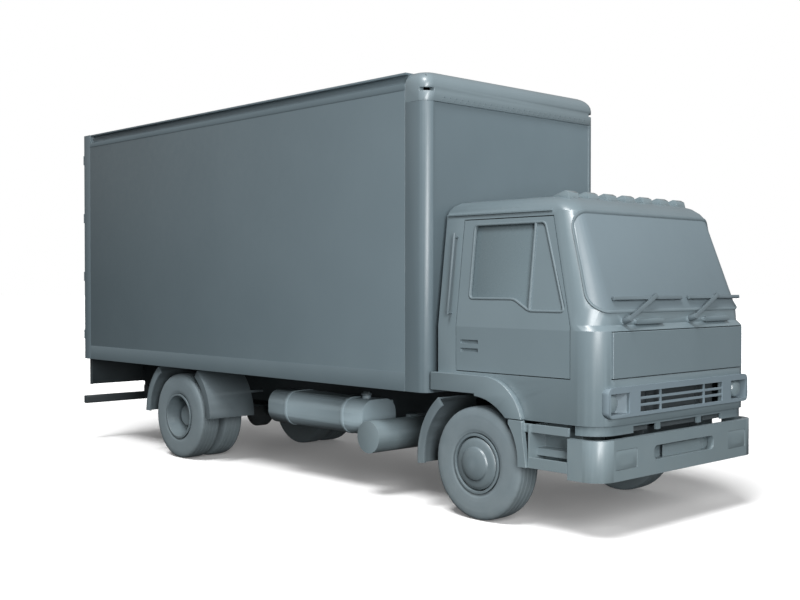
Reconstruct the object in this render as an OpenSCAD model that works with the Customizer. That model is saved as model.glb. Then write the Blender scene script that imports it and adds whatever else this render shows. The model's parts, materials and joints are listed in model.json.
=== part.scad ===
// Cab-over box truck for mail delivery.
// X runs forward, Y to the truck's left and Z up. Sections are laid out from the
// cargo box's rear face and from the ground, and place() centres the finished truck.

/* [Cargo box] */
// Length of the cargo box
box_length = 6398; // [5200:1:7800]
// Width of the cargo box
box_width = 2500; // [2300:1:3000]
// Height of the cargo box, from its lower edge to the roof
box_height = 2926; // [2300:1:3500]
// Thickness of the side walls
wall = 30; // [20:1:40]
// Radius of the upright front corners
box_corner_r = 100; // [60:1:120]
// Height of the rounded cap at the front of the roof
cap_height = 280; // [220:1:340]
// Width of the rear posts along the side
post_length = 160; // [120:1:200]
// Height of the open gutter under the roof's edge
gutter_height = 86; // [50:1:110]
// Height of the runners between the frame and the box
runner_height = 197; // [160:1:240]
// Thickness of the rear doors
rear_door_t = 50; // [35:1:60]

/* [Chassis] */
// Distance from the box's rear face to the rear axle
rear_overhang = 2165; // [1800:1:2600]
// Height of the frame's top above the axles
frame_rise = 381; // [370:1:460]
// Height of the frame rails
rail_height = 200; // [180:1:210]
// Thickness of the rails' steel
rail_t = 8; // [6:1:12]
// Distance between the rails, inside
rail_gap = 690; // [680:1:720]
// Length of the fuel tank
tank_length = 1530; // [1000:1:1530]
// Radius of the silencer
silencer_r = 155; // [110:1:160]

/* [Wheels] */
// Outer radius of the tyres
tyre_r = 499; // [460:1:600]
// Width of each tyre
tyre_width = 270; // [220:1:280]
// Radius of the tyres' bead seat
bead_r = 254; // [230:1:290]
// Free space between the tyres and the mudguards
guard_gap = 113; // [100:1:140]

/* [Cab] */
// Length of the cab
cab_length = 1784; // [1784:1:1900]
// Width of the cab
cab_width = 2322; // [2280:1:2400]
// Space between the box and the cab
cab_gap = 68; // [50:1:120]
// Thickness of the cab's walls
skin = 30; // [22:1:36]
// Seam around doors and flaps
seam = 8; // [6:1:12]
// Thickness of the window glass
glass_t = 6; // [4:1:8]

/* [Hidden] */
$fn = 64;
over = 1;
hull_fn = 32;
arc_fn = 180;
running = 0.05;
body_paint = [0.44, 0.50, 0.52];
dark_paint = [0.30, 0.35, 0.37];
rubber = [0.36, 0.40, 0.42];
glass_tint = [0.50, 0.57, 0.60];

// Heights
axle_z = tyre_r;
frame_top = axle_z + frame_rise;
rail_bottom = frame_top - rail_height;
box_bottom = frame_top + runner_height;
box_top = box_bottom + box_height;
deck_t = 33;
bearer_h = 120;
deck_top = box_bottom + bearer_h + deck_t;
cap_bottom = box_top - cap_height;
roof_t = 18;
roof_under = box_top - roof_t;
rail_top = roof_under - gutter_height;

// Widths
half_box = box_width / 2;
rail_inner = rail_gap / 2;
rail_outer = rail_inner + 75;
half_cab = cab_width / 2;

// Lengths from the box's rear face
cab_back = box_length + cab_gap;
cab_front = cab_back + cab_length;
bumper_front = cab_front + 37;
front_axle = cab_back + 471;
rear_axle_x = rear_overhang;
rear_reach = 40;
mid_x = (bumper_front - rear_reach) / 2;
rail_rear = 100;
rail_front = cab_front - 100;
cap_back = box_length - 274;

// Wheels
half_tyre = tyre_width / 2;
front_wheel_y = 1170 - half_tyre;
dual_gap = 45;
outer_wheel_y = 1185 - half_tyre;
inner_wheel_y = outer_wheel_y - tyre_width - dual_gap;
shoulder_r = 40;
rim_in_r = bead_r - 14;
flange_r = bead_r + 10;
flange_t = 10;
kingpin_y = 860;
kingpin_r = 18;
spindle_r = 30;
rear_spindle_r = 45;
arm_reach = 160;
steer_clear = 102;

// Cab outline, as heights above the frame's top
sill_z = frame_top + 50;
floor_z = frame_top + 240;
floor_t = 40;
arch_z = frame_top + 235;
door_bottom = frame_top + 423;
belt_z = frame_top + 810;
scuttle_z = frame_top + 855;
glass_z = frame_top + 980;
roof_z = frame_top + 1795;
tumble = 0.1206;
rake = 0.3716;
scuttle_x = cab_front - 50;
cab_corner_r = 230;
pillar_corner_r = 150;
pivot_z = frame_top + 30;
pivot_x = cab_front - 115;
pivot_r = 15;

// Shared tools
module place() {
    translate([-mid_x, 0, 0]) children();
}

module sided(right) {
    if (right) {
        mirror([0, 1, 0]) children();
    } else {
        children();
    }
}

module both_sides() {
    children();
    mirror([0, 1, 0]) children();
}

module block(low, high) {
    translate(low) cube(high - low);
}

module rod_x(x0, x1, y, z, r) {
    translate([x0, y, z]) rotate([0, 90, 0]) cylinder(h = x1 - x0, r = r);
}

module rod_y(y0, y1, x, z, r) {
    translate([x, y1, z]) rotate([90, 0, 0]) cylinder(h = y1 - y0, r = r);
}

module rod_z(z0, z1, x, y, r) {
    translate([x, y, z0]) cylinder(h = z1 - z0, r = r);
}

// A rectangle with round corners, from its low corner
module soft_rect(low, high, r) {
    size = high - low;
    translate(low) {
        translate([r, 0]) square([size[0] - 2 * r, size[1]]);
        translate([0, r]) square([size[0], size[1] - 2 * r]);
        for (u = [r, size[0] - r], v = [r, size[1] - r]) {
            translate([u, v]) circle(r);
        }
    }
}

// Turns a drawing in X and Z into a solid between two Y values
module across(y0, y1) {
    translate([0, y1, 0]) rotate([90, 0, 0]) linear_extrude(y1 - y0) children();
}

// Turns a drawing in Y and Z into a solid between two X values
module along(x0, x1) {
    translate([x0, 0, 0]) rotate([90, 0, 90]) linear_extrude(x1 - x0) children();
}

// A ring section between two radii and two angles, drawn in X and Z
module arc_band(r0, r1, a0, a1) {
    span = a1 - a0;
    reach = r1 * 2;
    intersection() {
        difference() {
            circle(r1, $fn = arc_fn);
            circle(r0, $fn = arc_fn);
        }
        polygon([
            [0, 0],
            for (k = [0:4]) [reach * cos(a0 + span * k / 4), reach * sin(a0 + span * k / 4)]
        ]);
    }
}

// Chassis
runner_front = 150;
module frame_rails() {
    color(dark_paint) place() both_sides() {
        difference() {
            block([rail_rear, rail_inner, rail_bottom], [rail_front, rail_outer, frame_top]);
            block([rail_rear - over, rail_inner - over, rail_bottom + rail_t],
                  [rail_front + over, rail_outer - rail_t, frame_top - rail_t]);
        }
        block([rail_rear, rail_inner, frame_top], [box_length - runner_front, rail_outer, box_bottom]);
    }
}

member_length = 60;
member_low = 80;
member_high = 20;
rear_members = [40, 1380, 2700];
front_members = [2165, 765];
module crossmember(x) {
    reach = rail_outer - rail_t;
    difference() {
        block([x, -reach, rail_bottom + member_low], [x + member_length, reach, frame_top - member_high]);
        block([x + rail_t, -reach - over, rail_bottom + member_low + rail_t],
              [x + member_length + over, reach + over, frame_top - member_high - rail_t]);
    }
}

module frame_crossmembers() {
    color(dark_paint) place() {
        for (d = rear_members) crossmember(rail_rear + d);
        for (d = front_members) crossmember(cab_back - d);
        crossmember(rail_front - 90);
    }
}

bearer_count = 13;
bearer_t = 8;
bearer_flange = 60;
bearer_inset = 3;
module bearer(x) {
    reach = half_box - wall - bearer_inset;
    mid = x + (bearer_flange - bearer_t) / 2;
    difference() {
        block([x, -reach, box_bottom], [x + bearer_flange, reach, box_bottom + bearer_h]);
        block([x - over, -reach - over, box_bottom + bearer_t],
              [mid, reach + over, box_bottom + bearer_h - bearer_t]);
        block([mid + bearer_t, -reach - over, box_bottom + bearer_t],
              [x + bearer_flange + over, reach + over, box_bottom + bearer_h - bearer_t]);
    }
}

module body_bearers() {
    first = post_length + 60;
    pitch = (box_length - 360 - first) / (bearer_count - 1);
    color(dark_paint) place() {
        for (k = [0:bearer_count - 1]) bearer(first + k * pitch);
    }
}

beam_low = 139;
beam_high = 39;
boss_r = 38;
boss_half = 60;
module front_axle_beam() {
    color(dark_paint) place() both_sides() difference() {
        union() {
            block([front_axle - 45, 0, axle_z - beam_low], [front_axle + 45, 700, axle_z - beam_high]);
            block([front_axle - 35, 660, axle_z - beam_low], [front_axle + 35, 765, axle_z + 40]);
            block([front_axle - 28, 755, axle_z - 45], [front_axle + 28, kingpin_y, axle_z + 45]);
            rod_z(axle_z - boss_half, axle_z + boss_half, front_axle, kingpin_y, boss_r);
        }
        rod_z(axle_z - 100, axle_z + 100, front_axle, kingpin_y, kingpin_r + running);
    }
}

axle_tube_r = 62;
banjo_r = 215;
pinion_reach = 330;
seat_half = 60;
spring_half = 35;
spring_y = (rail_inner + rail_outer) / 2;
spring_seat = 64;
module rear_axle() {
    color(dark_paint) place() {
        rod_y(-inner_wheel_y + 100, inner_wheel_y - 100, rear_axle_x, axle_z, axle_tube_r);
        rod_y(-1040, 1040, rear_axle_x, axle_z, rear_spindle_r);
        rod_y(-60, 60, rear_axle_x, axle_z, banjo_r);
        both_sides() translate([rear_axle_x, 60, axle_z]) rotate([-90, 0, 0])
            cylinder(h = 110, r1 = banjo_r, r2 = axle_tube_r);
        rod_x(rear_axle_x, rear_axle_x + pinion_reach - 20, 0, axle_z, 75);
        rod_x(rear_axle_x, rear_axle_x + pinion_reach, 0, axle_z, 50);
        both_sides() block([rear_axle_x - seat_half, spring_y - spring_half, axle_z],
                           [rear_axle_x + seat_half, spring_y + spring_half, axle_z + spring_seat]);
    }
}

leaf_t = 10;
leaf_count = 6;
eye_r = 24;
damper_y = rail_outer + 45;
module leaf_pack(x, half_length, base) {
    for (k = [0:leaf_count - 1]) {
        reach = half_length * (1 - k / leaf_count * 0.8);
        block([x - reach, spring_y - spring_half, base + (leaf_count - 1 - k) * leaf_t],
              [x + reach, spring_y + spring_half, base + (leaf_count - k) * leaf_t]);
    }
    for (s = [-1, 1]) {
        eye_x = x + s * half_length;
        rod_y(spring_y - spring_half, spring_y + spring_half, eye_x, base + leaf_count * leaf_t, eye_r);
        block([eye_x - 18, spring_y - spring_half, base + leaf_count * leaf_t],
              [eye_x + 18, spring_y + spring_half, rail_bottom]);
    }
}

module damper(x, foot_z, lean) {
    length = rail_bottom + 90 - foot_z;
    head_x = x + length * tan(lean);
    body = length / cos(lean);
    translate([x, damper_y, foot_z]) rotate([0, lean, 0]) {
        cylinder(h = body * 0.55, r = 32);
        cylinder(h = body, r = 22);
    }
    rod_y(rail_outer, damper_y, head_x, rail_bottom + 90, 16);
    rod_y(damper_y - 30, damper_y + 30, x, foot_z, 26);
}

module springs_and_dampers() {
    color(dark_paint) place() both_sides() {
        leaf_pack(front_axle, 650, axle_z - beam_high);
        leaf_pack(rear_axle_x, 750, axle_z + spring_seat);
        damper(front_axle - 75, axle_z - beam_high - 40, -20);
        damper(rear_axle_x - 95, axle_z - 20, -30);
    }
}

crank_z = frame_top - 160;
engine_back = front_axle + 10;
engine_front = engine_back + 800;
gearbox_back = engine_back - 800;
module engine() {
    color(dark_paint) place() {
        block([engine_back, -210, crank_z - 160], [engine_front, 210, floor_z - 80]);
        block([engine_back + 60, -260, crank_z + 80], [engine_front - 60, 260, floor_z - 50]);
        block([engine_back + 60, -170, crank_z - 215], [engine_front - 180, 170, crank_z - 160]);
        rod_x(engine_back - 160, engine_back, 0, crank_z, 195);
        rod_x(gearbox_back + 30, engine_back - 160, 0, crank_z, 135);
        rod_x(gearbox_back, gearbox_back + 30, 0, crank_z, 60);
        rod_x(engine_front, engine_front + 40, 0, crank_z + 60, 40);
        rod_x(engine_front + 40, engine_front + 70, 0, crank_z + 60, 230);
        for (k = [0:3]) rod_y(260, 300, engine_back + 160 + k * 160, crank_z + 170, 38);
        both_sides() {
            block([engine_back + 330, 200, crank_z - 15], [engine_back + 400, rail_inner, crank_z + 50]);
            block([gearbox_back + 300, 60, crank_z - 15], [gearbox_back + 360, rail_inner, crank_z + 50]);
        }
    }
}

radiator_x = cab_front - 290;
module radiator() {
    color(dark_paint) place() {
        both_sides() block([radiator_x + 20, 320, rail_bottom + 60], [radiator_x + 50, rail_inner, rail_bottom + 120]);
        difference() {
            block([radiator_x, -325, rail_bottom - 40], [radiator_x + 80, 325, floor_z - 20]);
            for (k = [0:8]) {
                block([radiator_x + 50, -285, rail_bottom + 10 + k * 40], [radiator_x + 80 + over, 285, rail_bottom + 30 + k * 40]);
            }
        }
    }
}

tank_y0 = 650;
tank_y1 = 1100;
tank_z0 = frame_top - 313;
tank_z1 = frame_top + 40;
tank_round = 140;
tank_front = cab_back - 1106;
tank_back = tank_front - tank_length;
neck_x = tank_front - 160;
neck_y = 900;
neck_r = 45;
neck_top = tank_z1 + 30;
module tank_strap(x) {
    along(x, x + 50) soft_rect([tank_y0 - 6, tank_z0 - 6], [tank_y1 + 6, tank_z1 + 6], tank_round + 6);
    block([x - 5, rail_outer, rail_bottom + 20], [x + 55, tank_y0 + 20, frame_top - 20]);
}

module fuel_tank() {
    color(body_paint) place() sided(true) {
        along(tank_back, tank_front) soft_rect([tank_y0, tank_z0], [tank_y1, tank_z1], tank_round);
        tank_strap(tank_back + tank_length * 0.18);
        tank_strap(tank_back + tank_length * 0.78);
        rod_z(tank_z1 - 40, neck_top, neck_x, neck_y, neck_r);
    }
}

module fuel_cap() {
    color(dark_paint) place() sided(true) {
        rod_z(neck_top + 0.5, neck_top + 22, neck_x, neck_y, neck_r + 8);
        block([neck_x - 40, neck_y - 8, neck_top + 20], [neck_x + 40, neck_y + 8, neck_top + 36]);
    }
}

silencer_x = cab_back - 908;
silencer_z = frame_top - 288;
silencer_y0 = rail_outer + 10;
silencer_y1 = 1200;
module silencer() {
    color(body_paint) place() sided(true) {
        rod_y(silencer_y0, silencer_y1, silencer_x, silencer_z, silencer_r);
        block([silencer_x - 28, rail_outer, silencer_z + 100], [silencer_x + 28, rail_outer + 250, rail_bottom + 90]);
        rod_x(silencer_x, silencer_x + 640, rail_outer + 90, silencer_z + 20, 36);
    }
}

battery_x = tank_front - 660;
module battery_box() {
    color(body_paint) place() {
        block([battery_x, 650, rail_bottom - 110], [battery_x + 600, 1100, frame_top + 10]);
        block([battery_x - 6, 644, frame_top - 20], [battery_x + 606, 1106, frame_top + 20]);
        for (d = [60, 480]) {
            block([battery_x + d, rail_outer, rail_bottom + 20], [battery_x + d + 60, 650, frame_top - 30]);
        }
        for (d = [150, 450]) {
            block([battery_x + d - 25, 1106, frame_top - 60], [battery_x + d + 25, 1114, frame_top + 5]);
        }
    }
}

// Front end on the chassis
bumper_half = 1200;
bumper_r = 180;
bumper_t = 60;
bumper_z0 = frame_top - 388;
bumper_z1 = frame_top - 56;
bumper_back = cab_front - 290;
slot_half = 461;
slot_z0 = bumper_z0 + 118;
slot_z1 = bumper_z0 + 238;
lamp_y0 = 700;
lamp_y1 = 1000;
lamp_z0 = bumper_z0 + 88;
lamp_z1 = bumper_z0 + 248;
lamp_depth = 14;
tray_depth = 60;
plate_y = 50;
plate_half = 290;
plate_hole_r = 4;
plate_hole_pitch = 420;
module bumper() {
    color(body_paint) place() difference() {
        union() {
            difference() {
                translate([0, 0, bumper_z0]) linear_extrude(bumper_z1 - bumper_z0)
                    soft_rect([bumper_back - bumper_r, -bumper_half], [bumper_front, bumper_half], bumper_r);
                translate([0, 0, bumper_z0 - over]) linear_extrude(bumper_z1 - bumper_z0 + 2 * over)
                    soft_rect([bumper_back - bumper_r - 200, -bumper_half + bumper_t],
                              [bumper_front - bumper_t, bumper_half - bumper_t], bumper_r - bumper_t);
                block([bumper_back - 2 * bumper_r, -bumper_half - over, bumper_z0 - over],
                      [bumper_back, bumper_half + over, bumper_z1 + over]);
                along(bumper_front - bumper_t - over, bumper_front + over)
                    soft_rect([-slot_half, slot_z0], [slot_half, slot_z1], 45);
                both_sides() along(bumper_front - lamp_depth, bumper_front + over)
                    soft_rect([lamp_y0, lamp_z0], [lamp_y1, lamp_z1], 20);
            }
            difference() {
                block([bumper_front - bumper_t - tray_depth, -slot_half - 14, slot_z0 - 14],
                      [bumper_front - bumper_t, slot_half + 14, slot_z1 + 14]);
                block([bumper_front - bumper_t - tray_depth + 4, -slot_half - 10, slot_z0 - 10],
                      [bumper_front - bumper_t + over, slot_half + 10, slot_z1 + 10]);
            }
            block([bumper_front - bumper_t - 12, plate_y - plate_half, slot_z0 - 20],
                  [bumper_front - bumper_t, plate_y + plate_half, slot_z1 - 20]);
        }
        for (s = [-1, 1]) {
            rod_x(bumper_front - bumper_t - 20, bumper_front - bumper_t + over,
                  plate_y + s * plate_hole_pitch / 2, slot_z0 + 40, plate_hole_r);
        }
    }
}

panel_x0 = 20;
panel_x1 = 60;
panel_z0 = rail_bottom + 55;
tail_y0 = 760;
tail_y1 = 1140;
module signal_lamps() {
    color(glass_tint) place() {
        both_sides() along(bumper_front - lamp_depth + 1, bumper_front - 2)
            soft_rect([lamp_y0 + 2, lamp_z0 + 2], [lamp_y1 - 2, lamp_z1 - 2], 18);
        both_sides() along(-6, panel_x0)
            soft_rect([tail_y0, panel_z0 + 110], [tail_y1, panel_z0 + 230], 20);
    }
}

step_x0 = front_axle + 613;
step_x1 = bumper_back - 5;
step_z0 = sill_z - 390;
step_y0 = 980;
step_y1 = 1200;
leg_y0 = 1175;
leg_y1 = 1225;
arch_r = tyre_r + 21;
arch_rise = 76;
module arch_outline() {
    corner_x = front_axle + 122;
    corner_z = axle_z + 331;
    difference() {
        union() {
            translate([corner_x, corner_z]) circle(445, $fn = arc_fn);
            polygon([
                [cab_back - 41, arch_z], [corner_x, arch_z],
                [corner_x, corner_z + 445], [cab_back - 41, corner_z + 445]
            ]);
            polygon([
                [corner_x, corner_z], [corner_x + 445, corner_z],
                [front_axle + 612, step_z0], [corner_x, step_z0]
            ]);
        }
        translate([front_axle, axle_z + arch_rise]) circle(arch_r);
        translate([cab_back - 200, 0]) square([front_axle + arch_r - cab_back + 200, axle_z + arch_rise]);
        translate([cab_back - 200, 0]) square([front_axle - cab_back + 220, arch_z]);
    }
}

module cab_steps() {
    color(body_paint) place() both_sides() {
        block([step_x0, step_y0, step_z0], [step_x0 + 15, step_y1, sill_z - 30]);
        block([step_x0, step_y0, step_z0], [step_x1, step_y0 + 12, sill_z - 30]);
        block([step_x0, step_y0, step_z0], [step_x1, step_y1, step_z0 + 30]);
        block([step_x0, step_y1 - 25, step_z0], [step_x1, step_y1, step_z0 + 90]);
        block([step_x0, step_y0, step_z0 + 100], [step_x1, step_y0 + 120, step_z0 + 160]);
        block([step_x0 - 60, step_y1 - 45, sill_z - 95], [step_x1, step_y1 - 20, sill_z - 25]);
        block([step_x0 + 150, rail_outer, rail_bottom + 20], [step_x0 + 210, step_y0 + 5, rail_bottom + 100]);
        intersection() {
            across(leg_y0, leg_y1) arch_outline();
            block([step_x0 - 200, leg_y0 - over, step_z0], [step_x0 + 200, leg_y1 + over, sill_z - 3]);
        }
    }
}

guard_r = tyre_r + guard_gap;
guard_lip = 88;
guard_t = 15;
guard_y1 = 1200;
module mudguard(x, y0, a0, a1, stay) {
    translate([x, 0, axle_z]) {
        across(y0, guard_y1) arc_band(guard_r + guard_lip - guard_t, guard_r + guard_lip, a0, a1);
        across(guard_y1 - 22, guard_y1 - 1) arc_band(guard_r, guard_r + guard_lip - guard_t / 2, a0 + 0.2, a1 - 0.2);
        rod_y(rail_outer, y0 + 30, (guard_r + guard_lip - 8) * cos(stay),
              (guard_r + guard_lip - 8) * sin(stay), 16);
    }
}

module front_mudguards() {
    color(body_paint) place() both_sides() mudguard(front_axle, 640, 128.5, 186, 160);
}

module rear_mudguards() {
    color(body_paint) place() both_sides() {
        mudguard(rear_axle_x, 590, 2, 53, 25);
        mudguard(rear_axle_x, 590, 127, 179, 155);
    }
}

bar_z0 = frame_top - 395;
bar_z1 = frame_top - 295;
bar_half = 1245;
module underrun_guard() {
    color(dark_paint) place() {
        across(-bar_half, bar_half) soft_rect([-rear_reach, bar_z0], [45, bar_z1], 18);
        both_sides() block([20, rail_inner + 10, bar_z0 + 20], [180, rail_outer - 10, bar_z0 + 70]);
        both_sides() block([62, rail_inner + 10, bar_z0 + 20], [180, rail_outer - 10, rail_bottom]);
        block([panel_x0, -1190, panel_z0], [panel_x0 + 8, 1190, box_bottom]);
        both_sides() block([panel_x0, 1182, panel_z0], [panel_x1 + 20, 1190, box_bottom]);
        both_sides() block([panel_x0, rail_inner, panel_z0], [rail_rear, rail_outer, frame_top]);
    }
}

lug_t = 15;
tongue_y0 = rail_inner + lug_t + 5;
tongue_y1 = rail_outer - lug_t - 5;
bridge_x = cab_back + 34;
module cab_mounts() {
    color(dark_paint) place() both_sides() {
        difference() {
            union() {
                for (y = [rail_inner, rail_outer - lug_t]) {
                    block([pivot_x - 30, y, frame_top], [rail_front, y + lug_t, pivot_z]);
                    rod_y(y, y + lug_t, pivot_x, pivot_z, 30);
                }
            }
            block([pivot_x - 60, rail_inner - over, 0], [pivot_x + 60, rail_outer + over, frame_top]);
            rod_y(rail_inner - over, rail_outer + over, pivot_x, pivot_z, pivot_r + running);
        }
        block([rail_front, rail_inner, slot_z1 + 18], [bumper_front - bumper_t, rail_outer, bumper_z1 - 12]);
        block([bridge_x, rail_inner, frame_top], [bridge_x + 60, rail_outer, floor_z - 40]);
        block([bridge_x, 0, floor_z - 40], [bridge_x + 60, rail_outer, floor_z - 2]);
    }
}

shaft_gap = 5;
shaft_x0 = rear_axle_x + pinion_reach + shaft_gap;
shaft_x1 = gearbox_back - shaft_gap;
shaft_run = shaft_x1 - shaft_x0;
shaft_rise = crank_z - axle_z;
shaft_pitch = atan(shaft_rise / shaft_run);
shaft_length = sqrt(shaft_run * shaft_run + shaft_rise * shaft_rise);
module propshaft() {
    color(dark_paint) place() translate([shaft_x0, 0, axle_z]) rotate([0, 90 - shaft_pitch, 0]) {
        cylinder(h = shaft_length, r = 38);
        for (z = [0, shaft_length - 16]) translate([0, 0, z]) cylinder(h = 16, r = 60);
        for (z = [16, shaft_length - 66]) translate([0, 0, z]) {
            intersection() {
                cylinder(h = 50, r = 52);
                translate([-52, -26, 0]) cube([104, 52, 50]);
            }
        }
    }
}

rod_z_mid = axle_z - 88;
module track_rod() {
    color(dark_paint) place() both_sides() {
        rod_y(0, kingpin_y - 40, front_axle - arm_reach, rod_z_mid, 14);
        rod_z(rod_z_mid - 17, rod_z_mid + 17, front_axle - arm_reach, kingpin_y - 35, 24);
    }
}

// Steering knuckles and wheels
module steering_knuckle(right) {
    color(dark_paint) place() sided(right) {
        rod_z(axle_z - 130, axle_z + 130, front_axle, kingpin_y, kingpin_r);
        for (z = [axle_z - 114, axle_z + 64]) {
            rod_z(z, z + 50, front_axle, kingpin_y, boss_r);
            block([front_axle - boss_r, kingpin_y, z], [front_axle + boss_r, kingpin_y + 65, z + 50]);
        }
        block([front_axle - boss_r, kingpin_y + 43, axle_z - 114], [front_axle + boss_r, kingpin_y + 65, axle_z + 114]);
        rod_y(kingpin_y + 60, kingpin_y + 255, front_axle, axle_z, spindle_r);
        block([front_axle - arm_reach, kingpin_y - 48, axle_z - 127], [front_axle, kingpin_y - 18, axle_z - 107]);
        block([front_axle - 30, kingpin_y - 48, axle_z - 127], [front_axle + 30, kingpin_y + 30, axle_z - 114]);
        rod_z(axle_z - 127, axle_z - 107, front_axle - arm_reach, kingpin_y - 35, 26);
    }
}

// A tyre's section: the first axis is the radius and the second runs across the tread
module tyre_profile() {
    flat = tyre_r - shoulder_r;
    difference() {
        union() {
            translate([bead_r, -half_tyre]) square([flat - bead_r, tyre_width]);
            translate([flat - over, shoulder_r - half_tyre]) square([shoulder_r + over, tyre_width - 2 * shoulder_r]);
            for (s = [-1, 1]) translate([flat, s * (half_tyre - shoulder_r)]) circle(shoulder_r);
        }
        for (s = [-1, 1]) {
            translate([bead_r - over, s * (half_tyre - 2) - 6]) square([flange_r - bead_r + 2 * over, 12]);
        }
    }
}

module tyre(y) {
    translate([0, y, 0]) rotate([-90, 0, 0]) rotate_extrude() tyre_profile();
}

module front_tyre(right) {
    color(rubber) place() sided(right) translate([front_axle, 0, axle_z]) tyre(front_wheel_y);
}

module rear_tyres(right) {
    color(rubber) place() sided(right) translate([rear_axle_x, 0, axle_z]) {
        tyre(outer_wheel_y);
        tyre(inner_wheel_y);
    }
}

lip = half_tyre + 3;
lip_in = lip - 10;
module rim_half_profile(s) {
    translate([rim_in_r, s > 0 ? 0 : -lip]) square([bead_r - rim_in_r, lip]);
    translate([rim_in_r, s > 0 ? lip_in : -lip]) square([flange_r - rim_in_r, lip - lip_in]);
}

cap_r = 228;
cap_w = half_tyre - 17;
module front_wheel(right) {
    hub_in = -85;
    spindle_end = 93;
    color(body_paint) place() sided(right) translate([front_axle, front_wheel_y, axle_z]) rotate([-90, 0, 0])
        rotate_extrude() {
            rim_half_profile(1);
            rim_half_profile(-1);
            polygon([
                [spindle_r + running, hub_in], [80, hub_in], [80, -30], [rim_in_r + 4, -30],
                [rim_in_r + 4, -14], [80, -14], [80, cap_w + 20], [cap_r - 12, cap_w - 4],
                [cap_r - 12, cap_w - 26], [cap_r, cap_w - 26], [cap_r, cap_w + 4],
                [cap_r - 10, cap_w + 16], [cap_r - 34, cap_w + 26], [150, cap_w + 30],
                [140, cap_w + 44], [110, cap_w + 56], [60, cap_w + 64], [0, cap_w + 67],
                [0, spindle_end], [spindle_r + running, spindle_end]
            ]);
        }
}

module rear_wheels(right) {
    disc_y = (outer_wheel_y + inner_wheel_y) / 2;
    color(body_paint) place() sided(right) translate([rear_axle_x, 0, axle_z]) rotate([-90, 0, 0])
        rotate_extrude() {
            for (y = [outer_wheel_y, inner_wheel_y]) translate([0, y]) {
                rim_half_profile(1);
                rim_half_profile(-1);
            }
            translate([rim_in_r, inner_wheel_y]) square([bead_r - rim_in_r - 4, outer_wheel_y - inner_wheel_y]);
            polygon([
                [rear_spindle_r + running, inner_wheel_y], [110, inner_wheel_y], [110, disc_y - 10],
                [rim_in_r + 4, disc_y - 10], [rim_in_r + 4, disc_y + 14], [120, disc_y + 14],
                [120, 1062], [108, 1076], [0, 1076], [0, 1045], [rear_spindle_r + running, 1045]
            ]);
        }
}

// Cargo box
module box_floor() {
    color(dark_paint) place() translate([0, 0, deck_top - deck_t]) linear_extrude(deck_t) {
        translate([post_length, wall - half_box]) square([cap_back - post_length, box_width - 2 * wall]);
        translate([post_length - 70, 5 - portal_half]) square([80, 2 * portal_half - 10]);
        intersection() {
            box_plan(corner_t + 1, corner_t + 1);
            translate([post_length, -half_box]) square([box_length, box_width]);
        }
    }
}

rub_rail = 6;
module box_side(right) {
    color(body_paint) place() sided(right) {
        block([post_length, half_box - wall, box_bottom], [cap_back, half_box, rail_top]);
        block([post_length, half_box - 70, rail_top], [cap_back, half_box - 48, roof_under]);
        block([post_length, half_box - 70, rail_top - 12], [cap_back, half_box - wall, rail_top]);
        for (z = [deck_top + 300, deck_top + 1100]) {
            block([post_length + 40, half_box - wall - rub_rail, z], [cap_back - 40, half_box - wall, z + 120]);
        }
    }
}

corner_t = 40;
module box_plan(inset, front_inset) {
    r = box_corner_r - inset;
    soft_rect([0, -half_box + inset], [box_length - front_inset, half_box - inset], r);
}

module box_front_wall() {
    flat = half_box - box_corner_r;
    color(body_paint) place() {
        translate([0, 0, box_bottom]) linear_extrude(cap_bottom - box_bottom) difference() {
            box_plan(0, 0);
            translate([-over, 0]) box_plan(corner_t, corner_t);
            translate([-over, -half_box - over]) square([cap_back + over, box_width + 2 * over]);
            translate([box_length - 12, -flat]) square([20, 2 * flat]);
        }
    }
}

module box_roof() {
    color(body_paint) place() {
        block([post_length, -half_box + 10, roof_under], [cap_back, half_box - 10, box_top]);
        for (k = [1:9]) {
            x = post_length + k * (cap_back - post_length) / 10;
            block([x - 20, -half_box + 72, roof_under - 40], [x + 20, half_box - 72, roof_under]);
        }
    }
}

cap_round = 130;
cap_steps = 6;

// The cap's level outline, drawn in from the sides and front by inset
module cap_plan(inset) {
    r = box_corner_r;
    x1 = box_length - inset;
    y1 = half_box - inset;
    translate([cap_back, -y1]) square([x1 - r - cap_back, 2 * y1]);
    translate([x1 - 2 * r, r - y1]) square([2 * r, 2 * y1 - 2 * r]);
    for (s = [-1, 1]) translate([x1 - r, s * (y1 - r)]) circle(r, $fn = hull_fn);
}

module cap_outside() {
    hull() {
        translate([0, 0, cap_bottom]) linear_extrude(1) cap_plan(0);
        for (k = [0:cap_steps]) {
            turn = 90 * k / cap_steps;
            translate([0, 0, box_top - cap_round * (1 - sin(turn)) - 1]) linear_extrude(1)
                cap_plan(cap_round * (1 - cos(turn)));
        }
    }
}

module roof_cap() {
    color(body_paint) place() {
        difference() {
            cap_outside();
            block([0, -half_box - over, cap_bottom - over], [cap_back, half_box + over, box_top + over]);
            block([0, -half_box + corner_t + 20, cap_bottom - over],
                  [box_length - corner_t - 20, half_box - corner_t - 20, box_top - corner_t]);
            both_sides() block([box_length - 90, half_box - 105, box_top - 190],
                               [box_length + over, half_box + over, box_top - 160]);
        }
    }
}

header_h = 150;
sill_h = 153;
frame_depth = 80;
portal_half = half_box - 76;
hinge_x = -24;
hinge_y = half_box - 14;
knuckle_r = 11;
pin_r = 6;
hinge_count = 4;
knuckle_h = 40;
door_gap = 6;
door_low = box_bottom + sill_h + 8;
door_high = box_top - header_h - 8;
lock_y = 330;
lock_x = -21;
lock_r = 13;
function hinge_z(k) = door_low + 160 + k * (door_high - door_low - 320) / (hinge_count - 1);

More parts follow.
